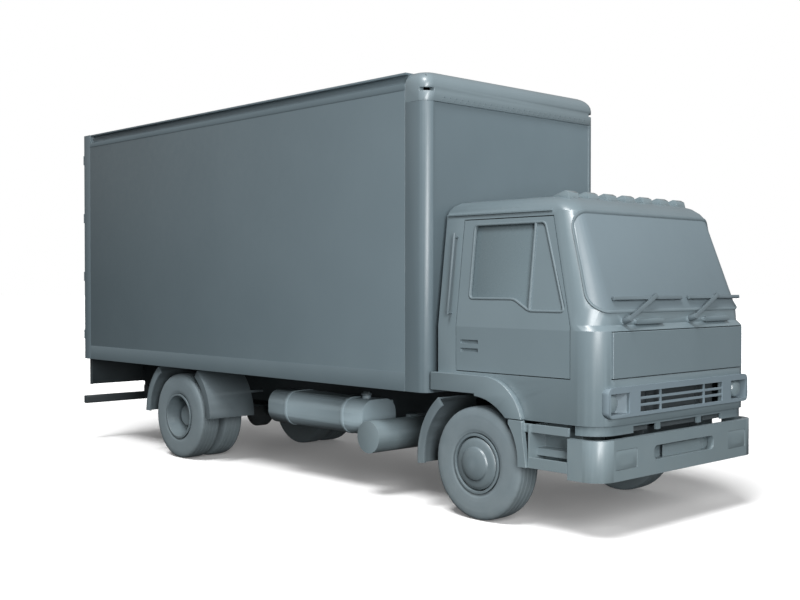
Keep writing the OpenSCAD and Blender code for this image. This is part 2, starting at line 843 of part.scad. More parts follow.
module keeper(z) {
    for (s = [-1, 1]) block([-34, lock_y + s * 26 - 4, z], [0, lock_y + s * 26 + 4, z + 46]);
    block([-4, lock_y - 30, z], [0, lock_y + 30, z + 46]);
}

module rear_frame() {
    color(body_paint) place() {
        difference() {
            block([0, -half_box, box_bottom], [post_length, half_box, box_top]);
            block([-over, -portal_half, box_bottom + sill_h], [post_length + over, portal_half, box_top - header_h]);
            block([frame_depth, -half_box + wall, box_bottom - over],
                  [post_length + over, half_box - wall, box_bottom + sill_h - 33]);
            block([post_length - 70, -half_box + wall, box_bottom + 100],
                  [post_length + over, half_box - wall, deck_top]);
        }
        both_sides() {
            keeper(box_bottom + sill_h - 60);
            keeper(box_top - header_h + 16);
            for (k = [0:hinge_count - 1]) {
                z = hinge_z(k);
                for (d = [-knuckle_h, knuckle_h]) {
                    rod_z(z + d - knuckle_h / 2 + 1, z + d + knuckle_h / 2 - 1, hinge_x, hinge_y, knuckle_r);
                    block([hinge_x, hinge_y - 4, z + d - knuckle_h / 2 + 1], [0, hinge_y + 7, z + d + knuckle_h / 2 - 1]);
                }
                rod_z(z - knuckle_h * 1.5, z + knuckle_h * 1.5, hinge_x, hinge_y, pin_r);
            }
        }
    }
}

module rear_door(right) {
    edge = portal_half - door_gap;
    color(body_paint) place() sided(right) {
        difference() {
            block([0, 3, door_low], [rear_door_t, edge, door_high]);
            for (k = [0:3]) {
                block([rear_door_t - 12, 80, door_low + 80 + k * 640], [rear_door_t + over, edge - 80, door_low + 640 + k * 640]);
            }
        }
        for (k = [0:hinge_count - 1]) {
            z = hinge_z(k);
            difference() {
                union() {
                    rod_z(z - knuckle_h / 2, z + knuckle_h / 2, hinge_x, hinge_y, knuckle_r);
                    block([-9, edge - 220, z - knuckle_h / 2], [-1.5, hinge_y - 4, z + knuckle_h / 2]);
                    block([hinge_x, hinge_y - 12, z - knuckle_h / 2], [-1.5, hinge_y - 4, z + knuckle_h / 2]);
                    block([-9, edge - 220, z - knuckle_h / 2], [0, edge - 4, z + knuckle_h / 2]);
                }
                rod_z(z - knuckle_h, z + knuckle_h, hinge_x, hinge_y, pin_r + running);
            }
        }
        for (z = [door_low + 400, door_low + 1500, door_high - 300]) {
            for (s = [-1, 1]) block([-38, lock_y + s * 18.5 - 5, z], [0, lock_y + s * 18.5 + 5, z + 40]);
        }
        block([-20, lock_y + 190, door_low + 830], [0, lock_y + 230, door_low + 850]);
    }
}

module lock_bar(right) {
    handle_z = door_low + 855;
    color(dark_paint) place() sided(right) {
        rod_z(box_bottom + sill_h - 58, box_top - header_h + 60, lock_x, lock_y, lock_r);
        for (z = [box_bottom + sill_h - 54, box_top - header_h + 22]) {
            rod_z(z, z + 34, lock_x, lock_y, 16);
        }
        block([lock_x - 12, lock_y, handle_z], [lock_x - 2, lock_y + 260, handle_z + 34]);
    }
}

// Cab
function side_y(z) = half_cab - max(0, z - belt_z) * tumble;
function nose_x(z) = scuttle_x - max(0, z - glass_z) * rake;

// A level outline of the cab, shrunk by inset, with round front corners
module cab_plan(front, half, r, inset) {
    r_in = max(r - inset, 20);
    x1 = front - inset;
    y1 = half - inset;
    translate([cab_back + inset, -y1]) square([x1 - r_in - cab_back - inset, 2 * y1]);
    translate([x1 - 2 * r_in, r_in - y1]) square([2 * r_in, 2 * y1 - 2 * r_in]);
    for (s = [-1, 1]) translate([x1 - r_in, s * (y1 - r_in)]) circle(r_in, $fn = hull_fn);
}

module cab_slice(z, front, half, r, inset) {
    translate([0, 0, z]) linear_extrude(0.1) cab_plan(front, half, r, inset);
}

module lower_body(inset, z0) {
    translate([0, 0, z0]) linear_extrude(belt_z - z0) cab_plan(cab_front, half_cab, cab_corner_r, inset);
    hull() {
        cab_slice(belt_z - 0.1, cab_front, half_cab, cab_corner_r, inset);
        cab_slice(scuttle_z, scuttle_x, side_y(scuttle_z), cab_corner_r, inset);
    }
}

module upper_body(inset, z1) {
    hull() {
        cab_slice(scuttle_z, scuttle_x, side_y(scuttle_z), cab_corner_r, inset);
        cab_slice(glass_z, scuttle_x, side_y(glass_z), cab_corner_r, inset);
        cab_slice(z1 - 0.1, nose_x(z1), side_y(z1), pillar_corner_r, inset);
    }
}

screen_z0 = glass_z - 10;
screen_z1 = roof_z - 15;
screen_low = side_y(glass_z) - 44;
screen_high = side_y(roof_z) - 34;
screen_r = 90;

// Rounds the corners of a four-sided outline by drawing each corner as a circle
module screen_outline(grow) {
    hull() {
        for (s = [-1, 1]) {
            translate([s * (screen_low - screen_r), screen_z0 + screen_r]) circle(screen_r + grow, $fn = hull_fn);
            translate([s * (screen_high - screen_r), screen_z1 - screen_r]) circle(screen_r + grow, $fn = hull_fn);
        }
    }
}

screen_back = cab_front - 750;
module screen_prism(grow) {
    along(screen_back, cab_front + 100) screen_outline(grow);
}

door_x0 = cab_back + 224;
door_x1 = cab_front - 300;
door_top = roof_z - 45;
door_top_x1 = door_x1 - 262;
door_t = 75;
frame_skin = 24;
window_x0 = door_x0 + 130;
window_z0 = belt_z + 250;
window_z1 = door_top - 44;
quarter_x0 = cab_back + 1042;
quarter_z0 = belt_z + 152;
window_top_x1 = cab_back + 1146;
window_low_x1 = cab_back + 1420;
module door_outline(grow) {
    polygon([
        [door_x0 - grow, door_bottom - grow], [door_x1 + grow, door_bottom - grow],
        [door_x1 + grow, belt_z + 20], [door_top_x1 + grow, door_top + grow],
        [door_x0 - grow, door_top + grow]
    ]);
}

module window_outline() {
    polygon([
        [window_x0, window_z0], [quarter_x0 - 175, window_z0], [quarter_x0, quarter_z0],
        [window_low_x1 - 30, quarter_z0], [window_low_x1, quarter_z0 + 40],
        [window_top_x1, window_z1], [window_x0, window_z1]
    ]);
}

module arch_cut() {
    both_sides() across(half_cab - 400, half_cab + 100) {
        translate([front_axle, axle_z + arch_rise]) circle(arch_r + 25);
        translate([cab_back - 100, 0]) square([front_axle - cab_back + 120, floor_z]);
        translate([cab_back - 100, 0]) square([front_axle + arch_r + 25 - cab_back + 100, axle_z + arch_rise]);
    }
}

hood_half = 988;
hood_z0 = frame_top + 428;
hood_z1 = frame_top + 800;
grille_half = 1070;
grille_z0 = frame_top + 113;
grille_z1 = frame_top + 360;
mouth_half = 640;
mouth_z0 = grille_z0 + 22;
mouth_z1 = grille_z1 - 44;
eye_y0 = 775;
eye_y1 = 1045;
module front_openings(grow) {
    block([cab_front - 400, -mouth_half - grow, mouth_z0 - grow], [cab_front + 100, mouth_half + grow, mouth_z1 + grow]);
    both_sides() block([cab_front - 400, eye_y0 - grow, mouth_z0 - grow], [cab_front + 100, eye_y1 + grow, mouth_z1 + grow]);
}

wiper_y = [-789, 181];
wiper_z = scuttle_z + 37;
wiper_tilt = atan(rake);
wiper_x = scuttle_x + (glass_z - wiper_z) * rake;
cap_z = scuttle_z + 23;
module scuttle_cap(y0) {
    along(scuttle_x - 10, scuttle_x + 34) soft_rect([y0, cap_z - 22], [y0 + 400, cap_z + 22], 20);
}

skirt_z0 = bumper_z1 + 26;
skirt_inset = 18;
skirt_t = 28;
slot_top = sill_z - 25;
module nose_skirt() {
    difference() {
        translate([0, 0, skirt_z0]) linear_extrude(sill_z + 10 - skirt_z0) difference() {
            cab_plan(cab_front, half_cab, cab_corner_r, skirt_inset);
            cab_plan(cab_front, half_cab, cab_corner_r, skirt_inset + skirt_t);
            translate([0, -half_cab]) square([cab_front - 255, cab_width]);
        }
        for (y = [[-680, -342], [-290, 290], [342, 680]]) {
            block([cab_front - 100, y[0], skirt_z0 - over], [cab_front + over, y[1], slot_top]);
        }
    }
}

module cab_shell() {
    color(body_paint) place() {
        nose_skirt();
        difference() {
            union() {
                lower_body(0, sill_z);
                upper_body(0, roof_z);
            }
            lower_body(skin, sill_z - over);
            upper_body(skin, roof_z + over);
            screen_prism(0);
            both_sides() across(half_cab - 200, half_cab + 100) door_outline(seam);
            arch_cut();
            block([cab_back - over, -half_cab - over, 0], [front_axle, half_cab + over, floor_z]);
            block([cab_front - 100, -hood_half - 6, hood_z0 - 6], [cab_front + 100, hood_half + 6, hood_z1 + 6]);
            front_openings(0);
        }
        for (y = [-640, 405]) scuttle_cap(y);
        for (y = wiper_y) translate([wiper_x, y, wiper_z]) rotate([0, -wiper_tilt, 0]) rod_x(-60, -19, 0, 0, 28);
    }
}

roof_steps = [[0, 0, 0, 150], [45, 40, 14, 150], [90, 95, 60, 160], [125, 190, 140, 170], [142, 330, 262, 180]];
module roof_dome(inset) {
    hull() {
        for (s = roof_steps) {
            translate([0, 0, s[0] - inset]) translate([0, 0, roof_z]) linear_extrude(0.1)
                translate([s[1] * 0.25, 0]) cab_plan(nose_x(roof_z) - s[1] * 1.25, side_y(roof_z) - s[2], s[3], inset);
        }
    }
}

drip = 14;
module cab_roof() {
    color(body_paint) place() {
        difference() {
            roof_dome(0);
            roof_dome(skin);
            block([cab_back - over, -half_cab, roof_z - 200], [cab_front, half_cab, roof_z]);
        }
        both_sides() block([cab_back + 10, side_y(roof_z) - 6, roof_z + 1],
                           [door_top_x1 - 10, side_y(roof_z) + drip, roof_z + 13]);
    }
}

module cab_floor() {
    inner = half_cab - skin;
    color(dark_paint) place() {
        difference() {
            union() {
                translate([0, 0, floor_z]) linear_extrude(floor_t)
                    cab_plan(cab_front - 130, half_cab, cab_corner_r, skin);
                block([cab_front - 160, -inner + 120, floor_z], [cab_front - 145, inner - 120, scuttle_z - 20]);
                both_sides() block([pivot_x - 25, tongue_y0, pivot_z], [pivot_x + 25, tongue_y1, floor_z + floor_t]);
                both_sides() rod_y(tongue_y0, tongue_y1, pivot_x, pivot_z, 26);
                both_sides() rod_y(rail_inner, rail_outer, pivot_x, pivot_z, pivot_r);
            }
            both_sides() across(half_cab - door_t - 20, half_cab + 100) door_outline(seam);
        }
    }
}

module windscreen() {
    color(glass_tint) place() intersection() {
        difference() {
            upper_body(2, roof_z);
            upper_body(2 + glass_t, roof_z + over);
        }
        screen_prism(0);
    }
}

bar_count = 2;
bucket_depth = 120;
lens_r = 76;
eye_x = cab_front - 44;
eye_mid_y = eye_y1 - 92;
eye_mid_z = (mouth_z0 + mouth_z1) / 2;
module lamp_bucket() {
    difference() {
        block([cab_front - bucket_depth, eye_y0 + 1, mouth_z0 + 1], [cab_front - 10, eye_y1 - 1, mouth_z1 - 1]);
        block([cab_front - bucket_depth + 4, eye_y0 + 6, mouth_z0 + 6], [cab_front, eye_y1 - 6, mouth_z1 - 6]);
    }
    translate([0, 0, mouth_z0 + 4]) linear_extrude(mouth_z1 - mouth_z0 - 8) polygon([
        [cab_front - 12, eye_y0 + 4], [cab_front - bucket_depth + 2, eye_y0 + 4],
        [cab_front - bucket_depth + 2, eye_y0 + 92]
    ]);
    block([cab_front - 20, eye_y0 + 1, mouth_z0 + 1], [cab_front + 4, eye_y1 - 1, mouth_z0 + 6]);
    block([cab_front - 20, eye_y0 + 1, mouth_z1 - 6], [cab_front + 4, eye_y1 - 1, mouth_z1 - 1]);
}

module grille() {
    color(body_paint) place() {
        both_sides() lamp_bucket();
        difference() {
            along(cab_front - 110, cab_front + 20)
                soft_rect([-grille_half, grille_z0], [grille_half, grille_z1], 55);
            lower_body(-0.4, sill_z);
            front_openings(-6);
        }
        for (k = [1:bar_count]) {
            z = mouth_z0 + 6 + k * (mouth_z1 - mouth_z0 - 12) / (bar_count + 1);
            block([cab_front + 4, -mouth_half + 6, z - 11], [cab_front + 14, mouth_half - 6, z + 11]);
        }
        for (y = [-335, 335]) block([cab_front + 2, y - 8, mouth_z0 + 6], [cab_front + 17, y + 8, mouth_z1 - 6]);
    }
}

roof_lamp_count = 7;
roof_lamp_pitch = 270;
module cab_lamps() {
    lamp_x = nose_x(roof_z) - 250;
    color(glass_tint) place() {
        both_sides() {
            rod_x(cab_front - bucket_depth + 4, eye_x, eye_mid_y, eye_mid_z, lens_r);
            translate([eye_x, eye_mid_y, eye_mid_z]) rotate([0, 90, 0])
                cylinder(h = 24, r1 = lens_r, r2 = lens_r * 0.62);
        }
        difference() {
            for (k = [0:roof_lamp_count - 1]) {
                y = (k - (roof_lamp_count - 1) / 2) * roof_lamp_pitch;
                across(y - 68, y + 68) polygon([
                    [lamp_x - 90, roof_z + 95], [lamp_x + 85, roof_z + 95], [lamp_x + 66, roof_z + 160],
                    [lamp_x + 30, roof_z + 178], [lamp_x - 90, roof_z + 140]
                ]);
            }
            roof_dome(-0.3);
        }
    }
}

liner_r = tyre_r + steer_clear;
module wheel_arches() {
    color(body_paint) place() both_sides() {
        intersection() {
            across(half_cab, half_cab + 61) arch_outline();
            block([cab_back - 60, half_cab - over, sill_z + 4], [cab_front, half_cab + 100, cab_front]);
        }
        translate([front_axle, 0, axle_z]) across(650, half_cab - skin - 5) arc_band(liner_r, liner_r + 10, 46.5, 84);
    }
}

grab_z0 = belt_z + 105;
grab_z1 = roof_z - 155;
module grab_handles() {
    lean = atan((side_y(grab_z0) - side_y(grab_z1)) / (grab_z1 - grab_z0));
    color(dark_paint) place() both_sides() {
        translate([cab_back + 148, side_y(grab_z0) + 45, grab_z0]) rotate([lean, 0, 0])
            cylinder(h = (grab_z1 - grab_z0) / cos(lean), r = 13);
        for (z = [grab_z0 + 15, grab_z1 - 35]) {
            rod_y(side_y(z - 11) + 0.3, side_y(z) + 45, cab_back + 148, z, 11);
        }
    }
}

seat_z = floor_z + floor_t;
module seat(y0, y1) {
    block([cab_back + 300, y0 + 60, seat_z], [cab_back + 720, y1 - 60, seat_z + 250]);
    block([cab_back + 260, y0, seat_z + 250], [cab_back + 790, y1, seat_z + 380]);
    block([cab_back + 130, y0, seat_z + 250], [cab_back + 258, y1, seat_z + 960]);
}

module seats() {
    color(rubber) place() {
        seat(-810, -280);
        seat(-160, 860);
    }
}

wheel_x = cab_front - 600;
wheel_y = -540;
wheel_z = seat_z + 570;
wheel_tilt = -35;
wheel_rim_r = 220;
module dashboard() {
    half = half_cab - skin - 90;
    color(dark_paint) place() {
        block([cab_front - 330, -half, seat_z + 400], [cab_front - 160, half, scuttle_z - 30]);
        block([cab_front - 370, wheel_y - 180, seat_z + 430], [cab_front - 330, wheel_y + 180, scuttle_z - 60]);
        translate([wheel_x, wheel_y, wheel_z]) rotate([0, wheel_tilt, 0]) translate([0, 0, -640]) cylinder(h = 579, r = 34);
        block([cab_front - 355, wheel_y - 45, seat_z + 120], [cab_front - 300, wheel_y + 45, seat_z + 405]);
    }
}

module steering_wheel() {
    color(dark_paint) place() translate([wheel_x, wheel_y, wheel_z]) rotate([0, wheel_tilt, 0]) {
        rotate_extrude() translate([wheel_rim_r, 0]) circle(15);
        translate([0, 0, -60]) cylinder(h = 70, r = 45);
        for (a = [0, 120, 240]) rotate([0, 0, a]) translate([0, -16, -8]) cube([wheel_rim_r, 32, 14]);
    }
}

hood_edge_r = 5;
hood_hinge_x = cab_front + 6 - hood_edge_r;
hood_hinge_z = hood_z1 - hood_edge_r;
module hood_flap() {
    color(body_paint) place() {
        block([cab_front - 28, -hood_half, hood_z0], [cab_front + 6, hood_half, hood_hinge_z]);
        block([cab_front - 28, -hood_half, hood_z0], [hood_hinge_x, hood_half, hood_z1]);
        rod_y(-hood_half, hood_half, hood_hinge_x, hood_hinge_z, hood_edge_r);
    }
}

arm_y = 487;
arm_z = 200;
blade_z = 180;
module wiper(y, blade_y0, blade_y1) {
    arm_angle = atan(arm_z / arm_y);
    arm_length = sqrt(arm_y * arm_y + arm_z * arm_z);
    color(dark_paint) place() translate([wiper_x, y, wiper_z]) rotate([0, -wiper_tilt, 0]) {
        rod_x(-18, 52, 0, 0, 27);
        rotate([arm_angle, 0, 0]) translate([30, 0, -17]) cube([20, arm_length, 34]);
        block([12, blade_y0, blade_z - 14], [34, blade_y1, blade_z + 14]);
    }
}

// The lower door is a box with a pocket for the glass, and the upper door is a frame
pocket_out = 22;
pocket_in = 64;
module door_layer(d0, d1, z0, z1) {
    along(door_x0 - 50, door_x1 + 50) polygon([
        [side_y(z0) - d1, z0], [side_y(belt_z) - d1, belt_z], [side_y(z1) - d1, z1],
        [side_y(z1) - d0, z1], [side_y(belt_z) - d0, belt_z], [side_y(z0) - d0, z0]
    ]);
}

handle_x0 = door_x0 + 50;
handle_x1 = door_x0 + 260;
handle_z = door_bottom + 218;
handle_depth = 19;
pane_out = 10;
module door(right) {
    color(body_paint) place() sided(right) {
        intersection() {
            door_layer(pane_out, pane_out + glass_t, quarter_z0 - 10, window_z1 + 10);
            across(half_cab - 300, half_cab + 50) window_outline();
            block([quarter_x0, 0, 0], [door_x1, half_cab + 50, door_top]);
        }
        intersection() {
            door_layer(0, frame_skin, quarter_z0 - 20, window_z1 + 20);
            block([quarter_x0 - 10, 0, quarter_z0 - 10], [quarter_x0 + 12, half_cab + 50, window_z1 + 10]);
        }
        difference() {
            intersection() {
                union() {
                    door_layer(0, door_t, door_bottom - 10, belt_z + 200);
                    door_layer(0, frame_skin, belt_z + 100, door_top + 10);
                }
                across(half_cab - 300, half_cab + 50) door_outline(0);
            }
            across(half_cab - 400, half_cab + 50) window_outline();
            intersection() {
                door_layer(pocket_out, pocket_in, door_bottom + 80, belt_z + 210);
                block([window_x0 - 40, 0, door_bottom + 90], [quarter_x0 - 8, half_cab + 50, door_top]);
            }
            for (z = [handle_z - 52, handle_z + 22]) {
                block([handle_x0, half_cab - handle_depth, z], [handle_x1, half_cab + over, z + 34]);
            }
        }
    }
}

glass_out = 28;
glass_x0 = window_x0 - 20;
glass_x1 = quarter_x0 - 12;
glass_low = quarter_z0 - 6;
glass_high = window_z1 + 22;
module door_glass(right) {
    color(glass_tint) place() sided(right) along(glass_x0, glass_x1) polygon([
        [side_y(glass_low) - glass_out - glass_t, glass_low], [side_y(glass_low) - glass_out, glass_low],
        [side_y(glass_high) - glass_out, glass_high], [side_y(glass_high) - glass_out - glass_t, glass_high]
    ]);
}

frame_rails();
frame_crossmembers();
body_bearers();
front_axle_beam();
rear_axle();
springs_and_dampers();
engine();
radiator();
fuel_tank();
fuel_cap();
silencer();
battery_box();
bumper();
signal_lamps();
cab_steps();
front_mudguards();
rear_mudguards();
underrun_guard();
cab_mounts();
propshaft();
track_rod();
box_floor();
box_side(true);  // box_side_right
box_side(false);  // box_side_left
box_front_wall();
box_roof();
roof_cap();
rear_frame();
rear_door(true);  // rear_door_right
rear_door(false);  // rear_door_left
lock_bar(true);  // lock_bar_right
lock_bar(false);  // lock_bar_left
steering_knuckle(true);  // steering_knuckle_right
steering_knuckle(false);  // steering_knuckle_left
front_tyre(true);  // front_tyre_right
front_tyre(false);  // front_tyre_left
front_wheel(true);  // front_wheel_right
front_wheel(false);  // front_wheel_left
rear_tyres(true);  // rear_tyres_right
rear_tyres(false);  // rear_tyres_left
rear_wheels(true);  // rear_wheels_right
rear_wheels(false);  // rear_wheels_left
cab_shell();
cab_roof();
cab_floor();
windscreen();
grille();
cab_lamps();
wheel_arches();
grab_handles();
seats();
dashboard();
steering_wheel();
hood_flap();
wiper(wiper_y[0], -117, 873);  // wiper_right
wiper(wiper_y[1], 13, 860);  // wiper_left
door(true);  // door_right
door(false);  // door_left
door_glass(true);  // door_glass_right
door_glass(false);  // door_glass_left
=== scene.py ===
import json
import math
import bpy
import bmesh
import numpy as np
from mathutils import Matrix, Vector


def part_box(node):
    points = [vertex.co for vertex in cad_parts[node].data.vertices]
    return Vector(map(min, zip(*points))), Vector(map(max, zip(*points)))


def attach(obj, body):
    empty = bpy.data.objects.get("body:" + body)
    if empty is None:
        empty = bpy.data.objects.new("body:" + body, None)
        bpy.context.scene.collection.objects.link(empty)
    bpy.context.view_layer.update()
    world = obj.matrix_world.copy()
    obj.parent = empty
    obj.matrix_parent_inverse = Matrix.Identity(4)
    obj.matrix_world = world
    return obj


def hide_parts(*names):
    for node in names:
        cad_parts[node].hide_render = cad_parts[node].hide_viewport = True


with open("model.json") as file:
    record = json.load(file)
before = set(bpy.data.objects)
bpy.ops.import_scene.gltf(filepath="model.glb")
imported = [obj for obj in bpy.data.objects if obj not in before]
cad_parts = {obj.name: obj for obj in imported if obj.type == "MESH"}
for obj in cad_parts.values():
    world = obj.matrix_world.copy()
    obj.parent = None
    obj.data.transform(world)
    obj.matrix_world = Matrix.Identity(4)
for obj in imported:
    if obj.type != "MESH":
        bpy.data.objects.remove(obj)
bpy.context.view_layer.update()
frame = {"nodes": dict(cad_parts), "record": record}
scene = bpy.context.scene
print("stage: frame loaded")

# The truck's own measures in metres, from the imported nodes
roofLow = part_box("box_roof")[0]
cabLow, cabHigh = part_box("cab_shell")
capLow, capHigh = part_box("roof_cap")
halfBox = float(capHigh[1])
halfCab = float(cabHigh[1])
cabNose = float(cabHigh[0])
cabBackX = float(cabLow[0])
roofZ = float(cabHigh[2])
# the fold along the cab's sides, above which they lean in by doorLean for each metre
beltZ = 1.690
doorLean = 0.1206


# ---- materials
def hexToLinear(text):
    # each sRGB channel c becomes c/12.92 when small and ((c+0.055)/1.055)^2.4 otherwise
    parts = np.array([int(text[i:i + 2], 16) for i in (1, 3, 5)]) / 255.0
    linear = np.where(parts <= 0.04045, parts / 12.92, ((parts + 0.055) / 1.055) ** 2.4)
    return (*[float(v) for v in linear], 1.0)


def addNode(tree, kind, settings=None, links=None):
    # adds one node, fills in its settings and joins the given sockets to it
    node = tree.nodes.new(kind)
    for name, value in (settings or {}).items():
        if isinstance(name, int) or name in node.inputs:
            node.inputs[name].default_value = value
        else:
            setattr(node, name, value)
    for name, socket in (links or {}).items():
        tree.links.new(socket, node.inputs[name])
    return node


# Sizes are in millimetres: patch is the spread of tone, grain the surface's texture and depth its height.
finishes = {
    # acrylic enamel sprayed on sheet steel: even slate colour, soft gloss and a faint orange peel
    "sprayedEnamelPanel": {
        "pale": "#64737a", "deep": "#5c6b72", "dust": "#7a8789", "patch": 900, "grain": 9,
        "depth": 0.10, "rough": (0.38, 0.52), "coat": 0.5, "pattern": "spray"},
    # the same enamel on pressed cab panels, with a little more gloss from polishing
    "polishedEnamelCab": {
        "pale": "#6f7e85", "deep": "#68777d", "dust": "#7a8789", "patch": 500, "grain": 8,
        "depth": 0.08, "rough": (0.34, 0.46), "coat": 0.8, "pattern": "spray"},
    # enamel on rolled aluminium: the box's rounded cap, a tone paler and glossier than the sheet beside it
    "enamelledRolledCap": {
        "pale": "#7c8b92", "deep": "#748389", "dust": "#87949a", "patch": 500, "grain": 8,
        "depth": 0.08, "rough": (0.34, 0.46), "coat": 0.8, "pattern": "spray"},
    # enamel baked on the rolled tank: satin, with a paler tone that is painted light, standing in for the
    # light the tank catches below the box
    "drumEnamelPaintedLight": {
        "pale": "#93a5ad", "deep": "#899ba3", "dust": "#8f9b9e", "patch": 350, "grain": 5,
        "depth": 0.15, "rough": (0.40, 0.52), "coat": 0.5, "pattern": "spray"},
    # chip-resistant enamel on bumper, silencer, battery box and steps: paler, with a pebbled skin
    "stoneguardEnamel": {
        "pale": "#74838a", "deep": "#68777d", "dust": "#7d8888", "patch": 350, "grain": 5,
        "depth": 0.25, "rough": (0.38, 0.50), "coat": 0.6, "pattern": "spray"},
    # dip-painted frame steel, dull, with road film; its darker tone is painted shade, standing in for the
    # shade under the truck
    "frameSteelWithPaintedShade": {
        "pale": "#343d41", "deep": "#2b3337", "dust": "#414749", "patch": 260, "grain": 6,
        "depth": 0.30, "rough": (0.50, 0.68), "coat": 0.0, "pattern": "cast"},
    # sand-cast iron under thin paint: pebbled skin; its dark tone is painted shade, standing in for the shade
    # under the truck
    "castIronWithPaintedShade": {
        "pale": "#3c4447", "deep": "#31383b", "dust": "#4a4f50", "patch": 180, "grain": 7,
        "depth": 0.6, "rough": (0.55, 0.72), "coat": 0.0, "pattern": "cast"},
    # enamelled pressed-steel wheels: satin, with brake dust
    "enamelledWheelSteel": {
        "pale": "#6c7b82", "deep": "#5d6b71", "dust": "#6a6f6e", "patch": 160, "grain": 5,
        "depth": 0.12, "rough": (0.36, 0.50), "coat": 0.5, "pattern": "spray"},
    # moulded tyre rubber, greyed by dry road dust
    "mouldedTyreRubber": {
        "pale": "#707d84", "deep": "#627076", "dust": "#828b8c", "patch": 120, "grain": 4,
        "depth": 0.35, "rough": (0.62, 0.80), "coat": 0.0, "pattern": "cast"},
    # slate-grey seal rubber, extruded: dull and even
    "extrudedSealRubber": {
        "pale": "#6b797f", "deep": "#606d73", "dust": "#6f7b7f", "patch": 150, "grain": 3,
        "depth": 0.10, "rough": (0.55, 0.68), "coat": 0.0, "pattern": "cast"},
    # injection-moulded polypropylene guards and handles: fine leather grain
    "grainedPolypropylene": {
        "pale": "#626f75", "deep": "#566268", "dust": "#6c7475", "patch": 240, "grain": 6,
        "depth": 0.35, "rough": (0.48, 0.62), "coat": 0.0, "pattern": "leather"},
    # injection-moulded acrylonitrile grille: body-coloured, fine grain and no lacquer
    "mouldedGrillePlastic": {
        "pale": "#71808a", "deep": "#69787f", "dust": "#77848a", "patch": 240, "grain": 5,
        "depth": 0.12, "rough": (0.56, 0.68), "coat": 0.0, "pattern": "leather"},
    # slate-tinted toughened glass: smooth, with a thin film of dust
    "tintedToughenedGlass": {
        "pale": "#66757b", "deep": "#5f6e74", "dust": "#6c797d", "patch": 700, "grain": 60,
        "depth": 0.05, "rough": (0.22, 0.32), "coat": 0.3, "pattern": "spray"},
    # laminated screen glass: two panes and a clear sheet between them, a tone paler than the side glass
    "laminatedScreenGlass": {
        "pale": "#6d7b82", "deep": "#65737a", "dust": "#7b888e", "patch": 900, "grain": 60,
        "depth": 0.05, "rough": (0.40, 0.50), "coat": 0.05, "pattern": "spray"},
    # moulded acrylic lamp lens: clear gloss over a pale reflector
    "mouldedLampAcrylic": {
        "pale": "#7c8b91", "deep": "#6f7e84", "dust": "#7d898d", "patch": 90, "grain": 14,
        "depth": 0.15, "rough": (0.12, 0.22), "coat": 0.8, "pattern": "spray"},
    # film-faced birch plywood deck: pressed wire-mesh print
    "meshFacedPlywood": {
        "pale": "#5d5c54", "deep": "#4f4e47", "dust": "#6a6961", "patch": 300, "grain": 7,
        "depth": 0.5, "rough": (0.55, 0.70), "coat": 0.0, "pattern": "weave"},
    # zinc-plated round bar: metal with fine drawing lines
    "zincPlatedBar": {
        "pale": "#9aa5a9", "deep": "#87929a", "dust": "#7c8484", "patch": 120, "grain": 3,
        "depth": 0.08, "rough": (0.32, 0.46), "coat": 0.0, "metal": 1.0, "pattern": "drawn"},
    # woven wool-blend seat cloth: 2 mm threads drawn at 4 mm so that they show
    "wovenSeatCloth": {
        "pale": "#56626a", "deep": "#47525a", "dust": "#5d676d", "patch": 120, "grain": 4,
        "depth": 0.8, "rough": (0.80, 0.92), "coat": 0.0, "sheen": 0.35, "pattern": "weave"},
}


# dust begins at top and is thickest at full, both in metres above the road
# specks is how many patches of it lie along a metre
dustShape = {"top": 1.5, "full": 0.2, "most": 0.55, "specks": 9.0}


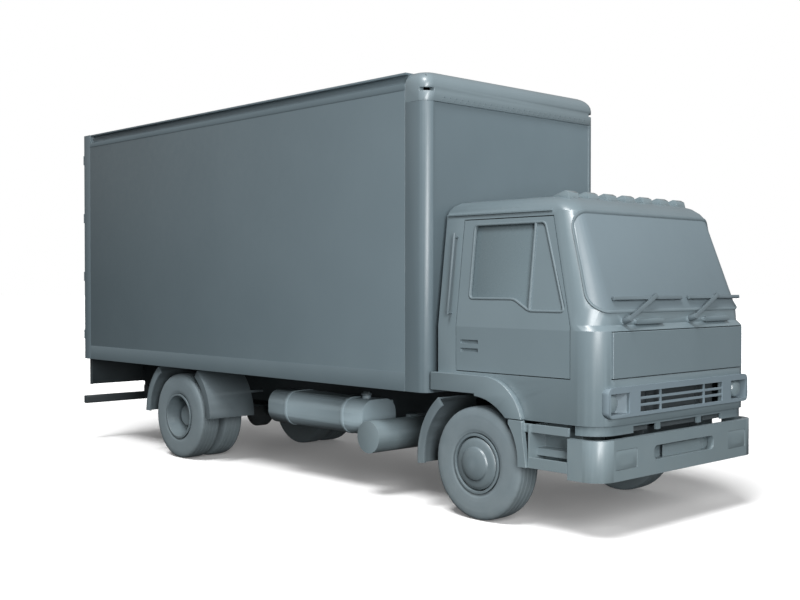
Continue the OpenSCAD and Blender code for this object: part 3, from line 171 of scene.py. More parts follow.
def makeFinish(name, look):
    # colour = pale and deep tones mixed by broad noise, then dust by height
    # bump = the pattern at its real size
    material = bpy.data.materials.new(name)
    material.use_nodes = True
    tree = material.node_tree
    tree.nodes.clear()
    pale, deep, dust = [hexToLinear(look[key]) for key in ("pale", "deep", "dust")]
    place = addNode(tree, "ShaderNodeTexCoord")
    broad = addNode(tree, "ShaderNodeTexNoise",
                    {"Scale": 1000 / look["patch"], "Detail": 3.0, "Roughness": 0.55},
                    {"Vector": place.outputs["Object"]})
    tone = addNode(tree, "ShaderNodeMix", {"data_type": "RGBA", 6: pale, 7: deep}, {0: broad.outputs[0]})
    stretch = (1.0, 1.0, 0.03) if look["pattern"] == "drawn" else (1.0, 1.0, 1.0)
    fitted = addNode(tree, "ShaderNodeMapping", {"Scale": stretch}, {"Vector": place.outputs["Object"]})
    size = 1000 / look["grain"]
    if look["pattern"] == "leather":
        grain = addNode(tree, "ShaderNodeTexVoronoi", {"Scale": size, "feature": "SMOOTH_F1"},
                        {"Vector": fitted.outputs[0]})
        height = grain.outputs["Distance"]
    elif look["pattern"] == "weave":
        # a thread is half a wave, and the texture makes about 3.15 waves for each unit of its scale
        threads = size / 6.3
        across, along, upright = [
            addNode(tree, "ShaderNodeTexWave", {"Scale": threads, "bands_direction": way, "Distortion": 0.4},
                    {"Vector": fitted.outputs[0]}).outputs[1] for way in "XYZ"]
        pair = addNode(tree, "ShaderNodeMath", {"operation": "MAXIMUM"}, {0: across, 1: along})
        woven = addNode(tree, "ShaderNodeMath", {"operation": "MULTIPLY"}, {0: pair.outputs[0], 1: upright})
        height = woven.outputs[0]
    else:
        detail = 5.0 if look["pattern"] == "cast" else 2.0
        height = addNode(tree, "ShaderNodeTexNoise", {"Scale": size, "Detail": detail, "Roughness": 0.6},
                         {"Vector": fitted.outputs[0]}).outputs[0]
    split = addNode(tree, "ShaderNodeSeparateXYZ", None, {0: place.outputs["Object"]})
    low = addNode(tree, "ShaderNodeMapRange",
                  {"From Min": dustShape["top"], "From Max": dustShape["full"],
                   "To Min": 0.0, "To Max": dustShape["most"]}, {"Value": split.outputs[2]})
    speck = addNode(tree, "ShaderNodeTexNoise",
                    {"Scale": dustShape["specks"], "Detail": 6.0, "Roughness": 0.7},
                    {"Vector": place.outputs["Object"]})
    amount = addNode(tree, "ShaderNodeMath", {"operation": "MULTIPLY"},
                     {0: low.outputs[0], 1: speck.outputs[0]})
    colour = addNode(tree, "ShaderNodeMix", {"data_type": "RGBA", 7: dust},
                     {0: amount.outputs[0], 6: tone.outputs[2]})
    smooth, rough = look["rough"]
    worn = addNode(tree, "ShaderNodeMapRange",
                   {"From Min": 0.3, "From Max": 0.7, "To Min": smooth, "To Max": rough},
                   {"Value": speck.outputs[0]})
    bump = addNode(tree, "ShaderNodeBump", {"Strength": 0.6, "Distance": look["depth"] / 1000},
                   {"Height": height})
    shader = addNode(tree, "ShaderNodeBsdfPrincipled",
                     {"Metallic": look.get("metal", 0.0), "Coat Weight": look["coat"], "Coat Roughness": 0.32,
                      "Sheen Weight": look.get("sheen", 0.0)},
                     {"Base Color": colour.outputs[2], "Roughness": worn.outputs[0],
                      "Normal": bump.outputs[0]})
    addNode(tree, "ShaderNodeOutputMaterial", None, {"Surface": shader.outputs[0]})
    return material


materials = {name: makeFinish(name, look) for name, look in finishes.items()}
slotFinish = {
    "body_paint": "sprayedEnamelPanel", "trim_paint": "stoneguardEnamel",
    # the chassis paint and cast metal finishes are darkened as painted shade for the truck's underside
    "chassis_paint": "frameSteelWithPaintedShade", "cast_metal": "castIronWithPaintedShade",
    "wheel_paint": "enamelledWheelSteel", "tyre_rubber": "mouldedTyreRubber",
    "guard_plastic": "grainedPolypropylene", "window_glass": "tintedToughenedGlass",
    "lamp_lens": "mouldedLampAcrylic", "deck_board": "meshFacedPlywood",
    "bar_steel": "zincPlatedBar", "seat_cloth": "wovenSeatCloth",
}
nodeSlot = {part["node"]: part["material_slot"] for part in frame["record"]["subparts"]}
bodyNodes = frame["record"]["behaviour"]["bodies"]
nodeBody = {node: body for body, nodes in bodyNodes.items() for node in nodes}
print("stage: materials made")


# ---- mesh tools
def gridFaces(rows, columns, wrapRows, wrapColumns):
    # quads between neighbouring rows and columns of a grid, joined round where a direction wraps
    i = np.arange(rows if wrapRows else rows - 1)
    j = np.arange(columns if wrapColumns else columns - 1)
    a, b = np.meshgrid(i, j, indexing="ij")
    nextA, nextB = (a + 1) % rows, (b + 1) % columns
    corners = [a * columns + b, nextA * columns + b, nextA * columns + nextB, a * columns + nextB]
    return np.stack(corners, axis=-1).reshape(-1, 4)


# weld distances in metres, and the angles in degrees from which an edge is rounded, kept sharp or joined flat
meshShape = {"pieceWeld": 0.00002, "nodeWeld": 0.00003, "roundFrom": 35, "sharpFrom": 40, "flatBelow": 0.6,
             "smallFace": 0.012, "beltReach": 0.0003}


def roundEdges(piece, width, angle):
    # a two-step bevel of the given width on every edge sharper than the angle
    bevel = piece.modifiers.new("roundedEdges", "BEVEL")
    bevel.width, bevel.segments, bevel.limit_method, bevel.harden_normals = width, 2, "ANGLE", True
    bevel.angle_limit = math.radians(angle)


def buildPiece(name, blocks, finish, body, nodes=(), bevel=None):
    # joins blocks of (points, faces, caps), welds them, turns the faces outwards
    # and hangs the piece on its body
    points, faces, start = [], [], 0
    for block in blocks:
        grid = np.asarray(block[0], dtype=float).reshape(-1, 3)
        points.append(grid)
        faces += (block[1] + start).tolist()
        faces += [[int(v) + start for v in cap] for cap in block[2]]
        start += len(grid)
    mesh = bpy.data.meshes.new(name)
    mesh.from_pydata(np.vstack(points).tolist(), [], faces)
    work = bmesh.new()
    work.from_mesh(mesh)
    bmesh.ops.remove_doubles(work, verts=work.verts, dist=meshShape["pieceWeld"])
    bmesh.ops.recalc_face_normals(work, faces=work.faces)
    work.to_mesh(mesh)
    work.free()
    mesh.materials.append(materials[finish])
    mesh.polygons.foreach_set("use_smooth", np.ones(len(mesh.polygons), dtype=bool))
    piece = bpy.data.objects.new(name, mesh)
    scene.collection.objects.link(piece)
    if bevel:
        roundEdges(piece, bevel, meshShape["roundFrom"])
    else:
        mesh.set_sharp_from_angle(angle=math.radians(meshShape["sharpFrom"]))
    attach(piece, body)
    if nodes:
        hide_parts(*nodes)
    return piece


def sweepProfile(path, profile, up, closed):
    # each profile point (side, lift) is carried along the path
    # side = tangent x up and lift = side x tangent
    path, profile = np.asarray(path, float), np.asarray(profile, float)
    ahead, behind = np.roll(path, -1, axis=0), np.roll(path, 1, axis=0)
    tangent = ahead - behind
    if not closed:
        tangent[0], tangent[-1] = path[1] - path[0], path[-1] - path[-2]
    tangent /= np.linalg.norm(tangent, axis=1, keepdims=True)
    side = np.cross(tangent, np.broadcast_to(np.asarray(up, float), path.shape))
    side /= np.linalg.norm(side, axis=1, keepdims=True)
    lift = np.cross(side, tangent)
    points = path[:, None] + profile[None, :, :1] * side[:, None] + profile[None, :, 1:] * lift[:, None]
    count = len(profile)
    caps = [] if closed else [list(range(count)), [(len(path) - 1) * count + k for k in range(count)][::-1]]
    return points, gridFaces(len(path), count, closed, True), caps


def roundedPath(corners, radius, steps=6):
    # each corner C becomes the curve (1-s)^2 A + 2s(1-s) C + s^2 B
    # A and B lie a radius away from it along its two sides
    corners = np.asarray(corners, float)
    before, after = np.roll(corners, 1, axis=0) - corners, np.roll(corners, -1, axis=0) - corners
    a = corners + before / np.linalg.norm(before, axis=1, keepdims=True) * radius
    b = corners + after / np.linalg.norm(after, axis=1, keepdims=True) * radius
    s = np.linspace(0, 1, steps)[None, :, None]
    curve = (1 - s) ** 2 * a[:, None] + 2 * s * (1 - s) * corners[:, None] + s ** 2 * b[:, None]
    return curve.reshape(-1, corners.shape[1])


def ovalProfile(halfWide, halfThick, sides=10):
    # an ellipse: side = a cos t, lift = b sin t
    t = np.arange(sides) * 2 * np.pi / sides
    return np.stack([halfWide * np.cos(t), halfThick * np.sin(t)], axis=1)


def mirrored(block):
    # the same block on the truck's other side: y becomes -y
    points = np.array(block[0], dtype=float)
    points[..., 1] *= -1
    return points, block[1], block[2]


def domes(centres, outward, radius, height, sides=8, rings=(0.0, 0.55, 1.05, 1.5708)):
    # rivet heads: for each angle a in rings, points at radius r cos a and height h sin a about each centre
    outward = np.asarray(outward, float)
    slanted = [0.3, 0.5, 0.81]
    first = np.cross(outward, slanted)
    first /= np.linalg.norm(first)
    second = np.cross(outward, first)
    a = np.array(rings)[:, None, None]
    t = (np.arange(sides) * 2 * np.pi / sides)[None, :, None]
    head = radius * np.cos(a) * (np.cos(t) * first + np.sin(t) * second) + height * np.sin(a) * outward
    centres = np.asarray(centres, float)
    points = centres[:, None, None] + head[None]
    count = len(rings) * sides
    faces = gridFaces(len(rings), sides, False, True)
    faces = (faces[None] + (np.arange(len(centres)) * count)[:, None, None]).reshape(-1, 4)
    base = [[n * count + k for k in range(sides)] for n in range(len(centres))]
    return points, faces, base


def softenNode(node, edge, angle):
    # a welded copy of a CAD node with its flat faces joined and every edge past the angle rounded
    # the belt fold stays crisp, and a flat node's large faces are shaded flat
    mesh = frame["nodes"][node].data.copy()
    mesh.name = node + "_finished"
    work = bmesh.new()
    work.from_mesh(mesh)
    bmesh.ops.remove_doubles(work, verts=work.verts, dist=meshShape["nodeWeld"])
    bmesh.ops.dissolve_limit(work, angle_limit=math.radians(meshShape["flatBelow"]),
                             verts=work.verts, edges=work.edges)
    work.to_mesh(mesh)
    work.free()
    finish = ownFinish.get(node, slotFinish[nodeSlot[node]])
    mesh.materials.clear()
    mesh.materials.append(materials[finish])
    mesh.polygons.foreach_set("material_index", np.zeros(len(mesh.polygons), dtype=np.int32))
    mesh.polygons.foreach_set("use_smooth", np.ones(len(mesh.polygons), dtype=bool))
    places = np.empty(len(mesh.vertices) * 3)
    mesh.vertices.foreach_get("co", places)
    ends = np.empty(len(mesh.edges) * 2, dtype=np.int32)
    mesh.edges.foreach_get("vertices", ends)
    endHeights = places[2::3][ends.reshape(-1, 2)]
    onBelt = (np.abs(endHeights - beltZ) < meshShape["beltReach"]).all(axis=1)
    if nodeBody[node] in ("cab", "door_r", "door_l") and onBelt.any():
        if "sharp_edge" not in mesh.attributes:
            mesh.attributes.new("sharp_edge", "BOOLEAN", "EDGE")
        mesh.attributes["sharp_edge"].data.foreach_set("value", onBelt)
    if node in flatNodes:
        areas = np.empty(len(mesh.polygons))
        mesh.polygons.foreach_get("area", areas)
        mesh.polygons.foreach_set("use_smooth", areas < meshShape["smallFace"])
    piece = bpy.data.objects.new(node + "_finished", mesh)
    scene.collection.objects.link(piece)
    roundEdges(piece, edge, angle)
    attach(piece, nodeBody[node])
    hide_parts(node)


# ---- the plain nodes: edge radius in metres, and the angle in degrees from which an edge is rounded
# nodes whose finish is not the usual one of their slot
ownFinish = {node: "polishedEnamelCab" for node in
             ("cab_shell", "cab_roof", "wheel_arches", "hood_flap", "door_right", "door_left")}
ownFinish["grille"] = "mouldedGrillePlastic"
ownFinish["roof_cap"] = "enamelledRolledCap"
# the tank's paler finish is painted light
ownFinish["fuel_tank"] = "drumEnamelPaintedLight"
ownFinish["windscreen"] = "laminatedScreenGlass"
ownFinish["signal_lamps"] = "stoneguardEnamel"
flatNodes = ("door_right", "door_left", "bumper", "grille", "hood_flap", "cab_steps")
plainEdge, plainAngle = 0.002, 32
bevelAngle = {"cab_shell": 14, "door_right": 9, "door_left": 9}
edgeRadius = {
    "box_side_right": 0.004, "box_side_left": 0.004, "box_front_wall": 0.004, "box_roof": 0.004,
    "roof_cap": 0.004, "rear_frame": 0.004, "rear_door_right": 0.004, "rear_door_left": 0.004,
    "bumper": 0.010, "cab_steps": 0.005, "grille": 0.004, "hood_flap": 0.006, "door_right": 0.004,
    "door_left": 0.004, "wheel_arches": 0.006, "cab_shell": 0.005, "cab_roof": 0.004, "fuel_tank": 0.006,
    "silencer": 0.010, "battery_box": 0.006, "front_mudguards": 0.004, "rear_mudguards": 0.004,
    "underrun_guard": 0.004, "engine": 0.008, "rear_axle": 0.006,
    "windscreen": 0.001, "door_glass_right": 0.001, "door_glass_left": 0.001,
}
tyreNodes = ("front_tyre_right", "front_tyre_left", "rear_tyres_right", "rear_tyres_left")
for nodeName in frame["nodes"]:
    if nodeName not in tyreNodes and nodeName != "seats":
        softenNode(nodeName, edgeRadius.get(nodeName, plainEdge), bevelAngle.get(nodeName, plainAngle))
print("stage: plain nodes finished")

# ---- tyres
# wall follows the bulging sidewall and the shoulder as (w, r); the heel is a lift off the bead
tyreShape = {"wall": ((0.1315, 0.300), (0.1345, 0.340), (0.135, 0.380), (0.1335, 0.420), (0.1305, 0.448),
                      (0.125, 0.470), (0.1165, 0.486)), "wallSteps": 25,
             "beadShare": 0.527, "beadHalf": 0.118, "heelHalf": 0.126, "heelLift": 0.010,
             "innerHalf": 0.10, "innerGap": 0.004, "halfWidth": 0.135, "ringedHalf": 0.1372,
             "rings": (0.300, 0.330, 0.425), "ringHeight": 0.0022, "ringWidth": 0.004,
             "treadHalf": 0.105, "treadSteps": 43, "treadDrop": 0.006, "treadReach": 0.012,
             "grooves": (-0.075, -0.026, 0.026, 0.075), "grooveWidth": 0.008, "grooveDepth": 0.005,
             "lugs": 44, "stepsPerLug": 4, "lugDepth": 0.0015, "lugFrom": 0.082, "lugReach": 0.030}


def tyreBlock(centre, radius):
    # section points (w, r) follow bead, sidewall and shoulder, and the tread drops by d (w / half)^4
    # grooves and shoulder lugs then take their depth off r, and the section is turned about the axle
    shape = tyreShape
    bead = radius * shape["beadShare"]
    heel = (shape["heelHalf"], bead + shape["heelLift"])
    wall = np.array([(shape["beadHalf"], bead), heel, *shape["wall"]])
    along, marks = np.linspace(0, len(wall) - 1, shape["wallSteps"]), np.arange(len(wall))
    wallW, wallR = np.interp(along, marks, wall[:, 0]), np.interp(along, marks, wall[:, 1])
    for ring in shape["rings"]:
        wallW = wallW + shape["ringHeight"] * np.exp(-((wallR - ring) / shape["ringWidth"]) ** 2)
    wallW = wallW * shape["halfWidth"] / shape["ringedHalf"]
    treadW = np.linspace(-shape["treadHalf"], shape["treadHalf"], shape["treadSteps"])
    treadR = radius - shape["treadDrop"] * (np.abs(treadW) / shape["treadHalf"]) ** 4
    inner, innerR = shape["innerHalf"], bead - shape["innerGap"]
    w = np.concatenate([-wallW, treadW, wallW[::-1], [inner, -inner]])
    r = np.concatenate([wallR, treadR, wallR[::-1], [innerR, innerR]])
    fromGroove = np.abs(w[:, None] - np.array(shape["grooves"])).min(axis=1)
    groove = (fromGroove < shape["grooveWidth"] / 2) & (r > radius - shape["treadReach"])
    shoulder = (np.abs(w) > shape["lugFrom"]) & (r > radius - shape["lugReach"])
    steps = shape["lugs"] * shape["stepsPerLug"]
    angle = np.arange(steps)[:, None] * 2 * np.pi / steps
    lug = np.arange(steps)[:, None] % shape["stepsPerLug"] == 0
    reach = r - shape["grooveDepth"] * groove - shape["lugDepth"] * (lug & shoulder)
    x = centre[0] + reach * np.cos(angle)
    z = centre[2] + reach * np.sin(angle)
    y = centre[1] + np.broadcast_to(w, reach.shape)
    return np.stack([x, y, z], axis=-1), gridFaces(steps, len(w), True, True), []


for nodeName in tyreNodes:
    low, high = [np.array(c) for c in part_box(nodeName)]
    half = tyreShape["halfWidth"]
    middles = [low[1] + half, high[1] - half] if nodeName.startswith("rear") else [(low[1] + high[1]) / 2]
    blocks = [tyreBlock(((low[0] + high[0]) / 2, middle, (low[2] + high[2]) / 2), (high[2] - low[2]) / 2)
              for middle in middles]
    buildPiece(nodeName + "_moulded", blocks, "mouldedTyreRubber", nodeBody[nodeName],
               (nodeName,))
print("stage: tyres made")


# ---- windscreen seal
# the nose narrows upwards: heights in metres, with the front, the sides and the corner radius at each
noseShape = {"heights": (1.735, 1.860, roofZ), "setBack": (0.050, 0.050, 0.3529),
             "sideInset": (0.0054, 0.0205, 0.1188), "corner": (0.230, 0.230, 0.150)}


def cabSkin(y, z):
    # the cab's front surface: x = front(z) - r(z) + sqrt(r^2 - over^2)
    # over is how far |y| is past the flat part
    front = cabNose - np.interp(z, noseShape["heights"], noseShape["setBack"])
    half = halfCab - np.interp(z, noseShape["heights"], noseShape["sideInset"])
    corner = np.interp(z, noseShape["heights"], noseShape["corner"])
    past = np.clip(np.abs(y) - (half - corner), 0, corner)
    return front - corner + np.sqrt(corner ** 2 - past ** 2)


sealShape = {"halfWide": 0.017, "halfThick": 0.008, "cornerRadius": 0.15, "steps": 9, "splits": 5,
             "sink": 0.001, "lowHalf": 1.104, "lowZ": 1.846, "highHalf": 1.014, "highZ": 2.668,
             "middleZ": 2.26}
sealCorners = [[-sealShape["lowHalf"], sealShape["lowZ"]], [sealShape["lowHalf"], sealShape["lowZ"]],
               [sealShape["highHalf"], sealShape["highZ"]], [-sealShape["highHalf"], sealShape["highZ"]]]
sealOutline = roundedPath(sealCorners, sealShape["cornerRadius"], sealShape["steps"])
nextPoints = np.roll(sealOutline, -1, axis=0)
fractions = (np.arange(sealShape["splits"]) / sealShape["splits"])[None, :, None]
sealOutline = (sealOutline[:, None] * (1 - fractions) + nextPoints[:, None] * fractions).reshape(-1, 2)
# points that fall on the one before are left out
sealOutline = sealOutline[np.linalg.norm(sealOutline - np.roll(sealOutline, 1, axis=0), axis=1) > 1e-4]
sealX = cabSkin(sealOutline[:, 0], sealOutline[:, 1]) - sealShape["sink"]
sealPath = np.column_stack([sealX, sealOutline])
fromMiddle = sealPath - [sealX.mean(), 0, sealShape["middleZ"]]
sealProfile = ovalProfile(sealShape["halfThick"], sealShape["halfWide"])
sealBlock = sweepProfile(sealPath, sealProfile, fromMiddle, True)
buildPiece("windscreen_seal", [sealBlock], "extrudedSealRubber", "cab")
print("stage: windscreen seal made")

# ---- window beads, gaskets and divider bars on the doors
# outline is (set back from the nose, height); the bar stands between the sliding glass and the quarter glass
windowShape = {"outline": ((1.430, 1.940), (0.917, 1.940), (0.742, 1.842), (0.372, 1.842), (0.638, 2.586),
                           (1.430, 2.586)), "cornerRadius": 0.040, "bead": (0.011, 0.007), "proud": 0.001,
               "gasket": (0.007, 0.0135), "gasketInward": 0.004, "bar": (0.012, 0.007), "barSetBack": 0.741,
               "barHeights": (1.846, 2.584), "barSteps": 9, "up": (0, 1, 0.12)}


def doorSkin(z):
    # the door's outer face leans in above the belt: y = half width - lean (z - belt)
    return halfCab - np.maximum(0, z - beltZ) * doorLean


def doorSweep(outline, proud, sizes, closed):
    # an oval of the given half sizes swept along (x, z) points, proud of the door's face
    path = np.column_stack([outline[:, 0], doorSkin(outline[:, 1]) + proud, outline[:, 1]])
    return sweepProfile(path, ovalProfile(*sizes), windowShape["up"], closed)


windowCorners = np.array([(cabNose - back, height) for back, height in windowShape["outline"]])
beadOutline = roundedPath(windowCorners, windowShape["cornerRadius"])
outward = beadOutline - beadOutline.mean(axis=0)
outward /= np.linalg.norm(outward, axis=1, keepdims=True)
gasketOutline = beadOutline - windowShape["gasketInward"] * outward
barHeights = np.linspace(*windowShape["barHeights"], windowShape["barSteps"])
barOutline = np.column_stack([np.full(len(barHeights), cabNose - windowShape["barSetBack"]), barHeights])
windowBlocks = [doorSweep(beadOutline, windowShape["proud"], windowShape["bead"], True),
                doorSweep(gasketOutline, -windowShape["gasket"][1], windowShape["gasket"], True),
                doorSweep(barOutline, windowShape["proud"], windowShape["bar"], False)]
buildPiece("window_bead_left", windowBlocks, "extrudedSealRubber", "door_l")
buildPiece("window_bead_right", [mirrored(block) for block in windowBlocks], "extrudedSealRubber",
           "door_r")
print("stage: window beads made")

# ---- side rails and rivets on the cargo box
railShape = {"proud": 0.003, "bottom": (1.078, 1.252), "top": (3.842, 3.898), "edge": 0.0012, "edgeSteps": 3,
             "endGap": 0.002}
railBlocks = []
for low, high in (railShape["bottom"], railShape["top"]):
    section = [[0, low], [railShape["proud"], low], [railShape["proud"], high], [0, high]]
    profile = roundedPath(section, railShape["edge"], railShape["edgeSteps"]) * [-1, 1]
    path = [[float(roofLow[0]) + railShape["endGap"], halfBox, 0],
            [float(capLow[0]) - railShape["endGap"], halfBox, 0]]
    block = sweepProfile(path, profile, (0, 0, 1), False)
    railBlocks += [block, mirrored(block)]
buildPiece("side_rails", railBlocks, "sprayedEnamelPanel", "chassis")

rivetShape = {"radius": 0.0075, "height": 0.0045, "pitch": 0.080, "rows": (0.022, 0.048), "stagger": 0.027,
              "endRoom": 0.30, "sink": 0.0005}
rivetCount = int((2 * halfBox - rivetShape["endRoom"]) / rivetShape["pitch"])
rivetY = (np.arange(rivetCount) - (rivetCount - 1) / 2) * rivetShape["pitch"]
rivetX = float(capHigh[0]) - rivetShape["sink"]
rivetRows = [np.broadcast_arrays(rivetX, rivetY + k * rivetShape["stagger"], float(capLow[2]) + row)
             for k, row in enumerate(rivetShape["rows"])]
rivetPlaces = np.concatenate([np.stack(row, axis=1) for row in rivetRows])
rivetBlock = domes(rivetPlaces, (1, 0, 0), rivetShape["radius"], rivetShape["height"])
buildPiece("cap_rivets", [rivetBlock], "sprayedEnamelPanel", "chassis")
print("stage: box rails and rivets made")

# ---- lamps
headlampShape = {"setBack": 0.043, "side": 0.953, "height": 1.1055, "radius": 0.0755, "crown": 0.036,
                 "edgeShare": 0.97, "rings": 7, "ringDepth": 0.0005, "rows": 33, "columns": 64}
signalShape = {"sink": 0.0045, "acrossY": (0.706, 0.994), "acrossZ": (0.586, 0.734), "crown": 0.003,
               "ribs": 19, "ribDepth": 0.0006, "cornerPull": 0.04, "backGap": 0.004, "rows": 61,
               "columns": 25}


def signalBlock(front):
    # x = base + crown (1-u^4)(1-v^4) + a cosine rib across, on a rectangle with pulled-in corners
    shape, rows, columns = signalShape, signalShape["rows"], signalShape["columns"]
    u, v = np.meshgrid(np.linspace(-1, 1, rows), np.linspace(-1, 1, columns), indexing="ij")
    pull = 1 - shape["cornerPull"] * (u * v) ** 4
    (lowY, highY), (lowZ, highZ) = shape["acrossY"], shape["acrossZ"]
    y = (lowY + highY) / 2 + (highY - lowY) / 2 * u * pull
    z = (lowZ + highZ) / 2 + (highZ - lowZ) / 2 * v * pull
    inside = (1 - u ** 4) * (1 - v ** 4)
    base = front - shape["sink"]
    x = base + shape["crown"] * inside + shape["ribDepth"] * np.cos(u * shape["ribs"] * np.pi) * inside ** 0.5
    face = np.stack([x, y, z], axis=-1)
    back = np.stack([np.full_like(x, base - shape["backGap"]), y, z], axis=-1)
    quads, count = gridFaces(rows, columns, False, False), rows * columns
    index = np.arange(count).reshape(rows, columns)
    ring = np.concatenate([index[0], index[1:, -1], index[-1, -2::-1], index[-2:0:-1, 0]])
    skirt = np.stack([ring, np.roll(ring, -1), np.roll(ring, -1) + count, ring + count], axis=-1)
    points = np.concatenate([face.reshape(-1, 3), back.reshape(-1, 3)])
    return points, np.concatenate([quads, quads[:, ::-1] + count, skirt]), []


def headlampBlock():
    # a domed round lens: x = base + crown sqrt(1 - share r^2) + a fine cosine ring
    shape, rows, columns = headlampShape, headlampShape["rows"], headlampShape["columns"]
    r, t = np.meshgrid(np.linspace(0.0, 1.0, rows), np.arange(columns) * 2 * np.pi / columns, indexing="ij")
    dome = shape["crown"] * np.sqrt(1 - shape["edgeShare"] * r ** 2)
    x = cabNose - shape["setBack"] + dome + shape["ringDepth"] * np.cos(shape["rings"] * 2 * np.pi * r)
    y = shape["side"] + shape["radius"] * r * np.cos(t)
    z = shape["height"] + shape["radius"] * r * np.sin(t)
    return np.stack([x, y, z], axis=-1), gridFaces(rows, columns, False, True), []


headLens = headlampBlock()
buildPiece("headlamp_lenses", [headLens, mirrored(headLens)], "mouldedLampAcrylic", "cab")
signalLens = signalBlock(float(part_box("bumper")[1][0]))
buildPiece("bumper_lenses", [signalLens, mirrored(signalLens)], "stoneguardEnamel", "chassis")
print("stage: lamp lenses made")

# ---- dark screens behind the grille and behind the slots in the nose's lower edge: painted shade in the frame's darkened finish, so the gaps read dark instead of showing the floor
screenShape = {"thick": 0.003, "wave": 0.0015, "pitch": 0.012, "stepsPerWave": 6,
               "grilleSetBack": 0.100, "grilleY": (-0.655, 0.655), "grilleZ": (0.955, 1.222),
               "slotSetBack": 0.056, "slotY": ((-0.800, -0.430), (-0.300, 0.300), (0.430, 0.800)),
               "slotZ": (0.856, 0.965)}


def screenBlock(setBack, yRange, zRange):
    # a thin corrugated sheet: x = place + wave sin(2 pi y / pitch), with its back a thickness behind
    wave, pitch, rows = screenShape["wave"], screenShape["pitch"], 3
    columns = int((yRange[1] - yRange[0]) / pitch * screenShape["stepsPerWave"]) + 2
    y, z = np.meshgrid(np.linspace(*yRange, columns), np.linspace(*zRange, rows), indexing="ij")
    front = np.stack([cabNose - setBack + wave * np.sin(2 * np.pi * y / pitch), y, z], axis=-1)
    loop = np.concatenate([front, (front - [screenShape["thick"], 0, 0])[:, ::-1]], axis=1)
    around = 2 * rows
    ends = [list(range(around)), [(columns - 1) * around + k for k in range(around)][::-1]]
    return loop, gridFaces(columns, around, False, True), ends


screens = [screenBlock(screenShape["grilleSetBack"], screenShape["grilleY"], screenShape["grilleZ"])]
screens += [screenBlock(screenShape["slotSetBack"], span, screenShape["slotZ"])
            for span in screenShape["slotY"]]
buildPiece("painted_shade_screens", screens, "frameSteelWithPaintedShade", "cab")
print("stage: painted shade screens made")

# ---- seats
# depths are measured forward from the cab's back; the crew seat is the wider one
seatShape = {"places": ((-0.81, -0.28), (-0.16, 0.86)), "seams": (3, 6), "floorZ": 1.160,
             "baseHeight": 0.250, "baseInset": 0.06, "baseDepth": (0.30, 0.72), "baseCorner": 0.03,
             "baseSteps": 4, "baseEdge": 0.004, "cushionHeight": 0.135, "cushionDepth": (0.265, 0.785),
             "backHeight": 0.700, "backDepth": (0.135, 0.255), "power": 0.32, "swell": 0.07,
             "swellFade": 0.35, "channelPower": 0.35, "around": 96, "rows": 49}


def cushionBlock(low, high, seams):
    # a rounded box: each axis is sign(c)|c|^p of a sphere's own
    # it is swollen at the middle and pinched along sewn channels that run across y
    around, rows = seatShape["around"], seatShape["rows"]
    u, v = np.meshgrid(np.arange(around) * 2 * np.pi / around, np.linspace(-np.pi / 2, np.pi / 2, rows),
                       indexing="ij")
    sphere = np.stack([np.cos(v) * np.cos(u), np.cos(v) * np.sin(u), np.sin(v)], axis=-1)
    shape = np.sign(sphere) * np.abs(sphere) ** seatShape["power"]
    low, high = np.array(low), np.array(high)
    channel = np.abs(np.sin(np.pi * (shape[..., 1] + 1) / 2 * seams)) ** seatShape["channelPower"]
    fade = 1 - seatShape["swellFade"] * np.abs(shape) ** 4
    crown = 1 - seatShape["swell"] + seatShape["swell"] * channel[..., None] * fade
    return (low + high) / 2 + (high - low) / 2 * shape * crown, gridFaces(around, rows, True, False), []


baseBlocks = []
seatTop = seatShape["floorZ"] + seatShape["baseHeight"]
for number, (left, right) in enumerate(seatShape["places"]):
    backX, frontX = [cabBackX + depth for depth in seatShape["baseDepth"]]
    lowY, highY = left + seatShape["baseInset"], right - seatShape["baseInset"]
    plan = roundedPath([[backX, lowY], [backX, highY], [frontX, highY], [frontX, lowY]],
                       seatShape["baseCorner"], seatShape["baseSteps"])
    column = [[0, 0, seatShape["floorZ"]], [0, 0, seatTop]]
    baseBlocks.append(sweepProfile(column, plan[:, ::-1], (1, 0, 0), False))
    for kind in ("cushion", "back"):
        start, end = [cabBackX + depth for depth in seatShape[kind + "Depth"]]
        block = cushionBlock([start, left, seatTop], [end, right, seatTop + seatShape[kind + "Height"]],
                             seatShape["seams"][number])
        piece = buildPiece("seat_%s_%d" % (kind, number), [block], "wovenSeatCloth", "cab")
buildPiece("seat_bases", baseBlocks, "frameSteelWithPaintedShade", "cab", ("seats",),
           seatShape["baseEdge"])
print("stage: seats made")

# ---- floor, light and camera
# the floor's glow grows from near to far between the two distances, and the sky's from below to above
stageShape = {"floorHalf": 150.0, "floor": "#f6f6f6", "glowNear": 0.09, "glowFar": 0.60, "glowFrom": 5.0,
              "glowTo": 13.0, "backdropRadius": 200.0, "skyAbove": 0.26, "skyBelow": 0.03, "skyBlend": 0.10}
white = hexToLinear("#ffffff")
half = stageShape["floorHalf"]
floorMesh = bpy.data.meshes.new("studioFloor")
floorCorners = [[-half, -half, 0], [half, -half, 0], [half, half, 0], [-half, half, 0]]
floorMesh.from_pydata(floorCorners, [], [[0, 1, 2, 3]])
floorPiece = bpy.data.objects.new("studio_floor", floorMesh)
scene.collection.objects.link(floorPiece)
floorPiece.visible_diffuse = False
floorPiece.visible_glossy = False
# matt white paper with a painted glow, weaker near the truck and stronger away from it, so that its far edge
# melts into the backdrop
floorMaterial = bpy.data.materials.new("studioPaperPaintedGlow")
floorMaterial.use_nodes = True
floorTree = floorMaterial.node_tree
floorShader = floorTree.nodes["Principled BSDF"]
floorShader.inputs["Base Color"].default_value = hexToLinear(stageShape["floor"])
floorShader.inputs["Roughness"].default_value = 0.9
floorShader.inputs["Specular IOR Level"].default_value = 0.1
floorShader.inputs["Emission Color"].default_value = white
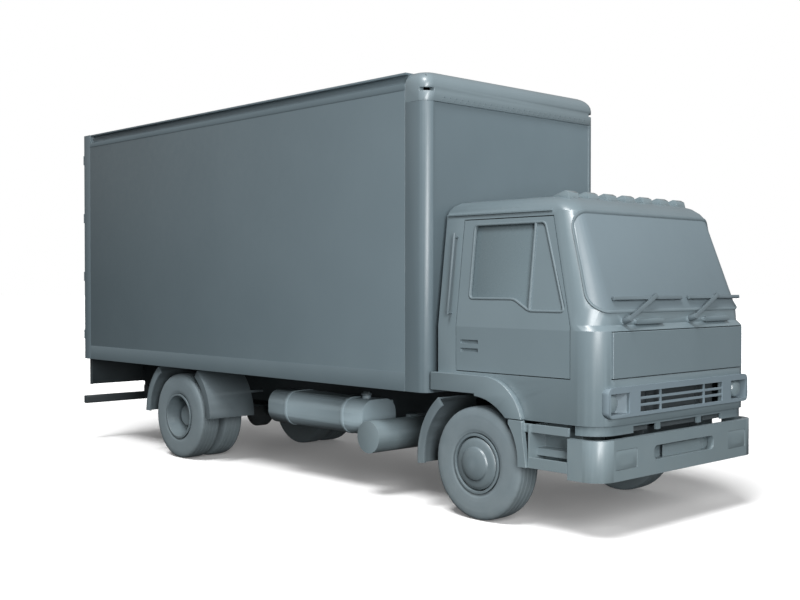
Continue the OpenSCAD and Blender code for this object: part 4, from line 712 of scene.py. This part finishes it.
# glow = near + (far - near) t, where t goes from 0 to 1 with the distance from the truck's middle
floorPlace = addNode(floorTree, "ShaderNodeTexCoord")
floorReach = addNode(floorTree, "ShaderNodeVectorMath", {"operation": "LENGTH"},
                     {0: floorPlace.outputs["Object"]})
floorGlow = addNode(floorTree, "ShaderNodeMapRange",
                    {"From Min": stageShape["glowFrom"], "From Max": stageShape["glowTo"],
                     "To Min": stageShape["glowNear"], "To Max": stageShape["glowFar"]},
                    {"Value": floorReach.outputs["Value"]})
floorTree.links.new(floorGlow.outputs[0], floorShader.inputs["Emission Strength"])
floorMesh.materials.append(floorMaterial)

# a white backdrop that only the camera sees
bpy.ops.mesh.primitive_uv_sphere_add(segments=48, ring_count=24, radius=stageShape["backdropRadius"])
backdrop = bpy.context.object
backdrop.name = "studio_backdrop"
for ray in ("diffuse", "glossy", "transmission", "shadow", "volume_scatter"):
    setattr(backdrop, "visible_" + ray, False)
# white cloth, lit evenly
backdropMaterial = bpy.data.materials.new("litBackdropCloth")
backdropMaterial.use_nodes = True
backdropTree = backdropMaterial.node_tree
backdropTree.nodes.clear()
glow = addNode(backdropTree, "ShaderNodeEmission", {"Color": white, "Strength": 1.0})
addNode(backdropTree, "ShaderNodeOutputMaterial", None, {"Surface": glow.outputs[0]})
backdrop.data.materials.append(backdropMaterial)

world = bpy.data.worlds.new("softSky")
world.use_nodes = True
worldTree = world.node_tree
worldTree.nodes.clear()
skyPlace = addNode(worldTree, "ShaderNodeTexCoord")
skySplit = addNode(worldTree, "ShaderNodeSeparateXYZ", None, {0: skyPlace.outputs["Generated"]})
skyLevel = addNode(worldTree, "ShaderNodeMapRange",
                   {"From Min": -stageShape["skyBlend"], "From Max": stageShape["skyBlend"],
                    "To Min": stageShape["skyBelow"], "To Max": stageShape["skyAbove"]},
                   {"Value": skySplit.outputs[2]})
sky = addNode(worldTree, "ShaderNodeBackground", {"Color": white}, {"Strength": skyLevel.outputs[0]})
addNode(worldTree, "ShaderNodeOutputWorld", None, {"Surface": sky.outputs[0]})
scene.world = world

# sizes are metres for the area lamp and degrees for the sun
lamps = {
    "frontKey": {"kind": "AREA", "place": (14.0, -8.5, 5.0), "aim": (3.0, 0.0, 1.8), "size": 4.5, "tall": 9.0,
                 "power": 2100},
    "overheadSoft": {"kind": "SUN", "place": (3.0, -7.5, 14.0), "aim": (0.0, 0.0, 0.0), "size": 20.0,
                     "power": 2.8},
}
for name, lamp in lamps.items():
    data = bpy.data.lights.new(name, lamp["kind"])
    data.energy = lamp["power"]
    if lamp["kind"] == "AREA":
        data.shape, data.size, data.size_y = "RECTANGLE", lamp["size"], lamp["tall"]
    else:
        data.angle = math.radians(lamp["size"])
    light = bpy.data.objects.new(name, data)
    light.location = lamp["place"]
    toward = Vector(lamp["aim"]) - Vector(lamp["place"])
    light.rotation_euler = toward.to_track_quat("-Z", "Y").to_euler()
    scene.collection.objects.link(light)

cameraShape = {"place": (9.3724, -8.2747, 2.0802), "turn": 46.636, "down": 0.912, "lens": 49.9,
               "sensor": 36.0, "farthest": 500.0}
cameraData = bpy.data.cameras.new("roadsideCamera")
cameraData.lens, cameraData.sensor_width = cameraShape["lens"], cameraShape["sensor"]
cameraData.clip_end = cameraShape["farthest"]
camera = bpy.data.objects.new("roadsideCamera", cameraData)
camera.location = cameraShape["place"]
camera.rotation_euler = (math.radians(90 - cameraShape["down"]), 0, math.radians(cameraShape["turn"]))
scene.collection.objects.link(camera)
scene.camera = camera
scene.view_settings.view_transform = "Standard"
print("stage: floor, lights and camera set")
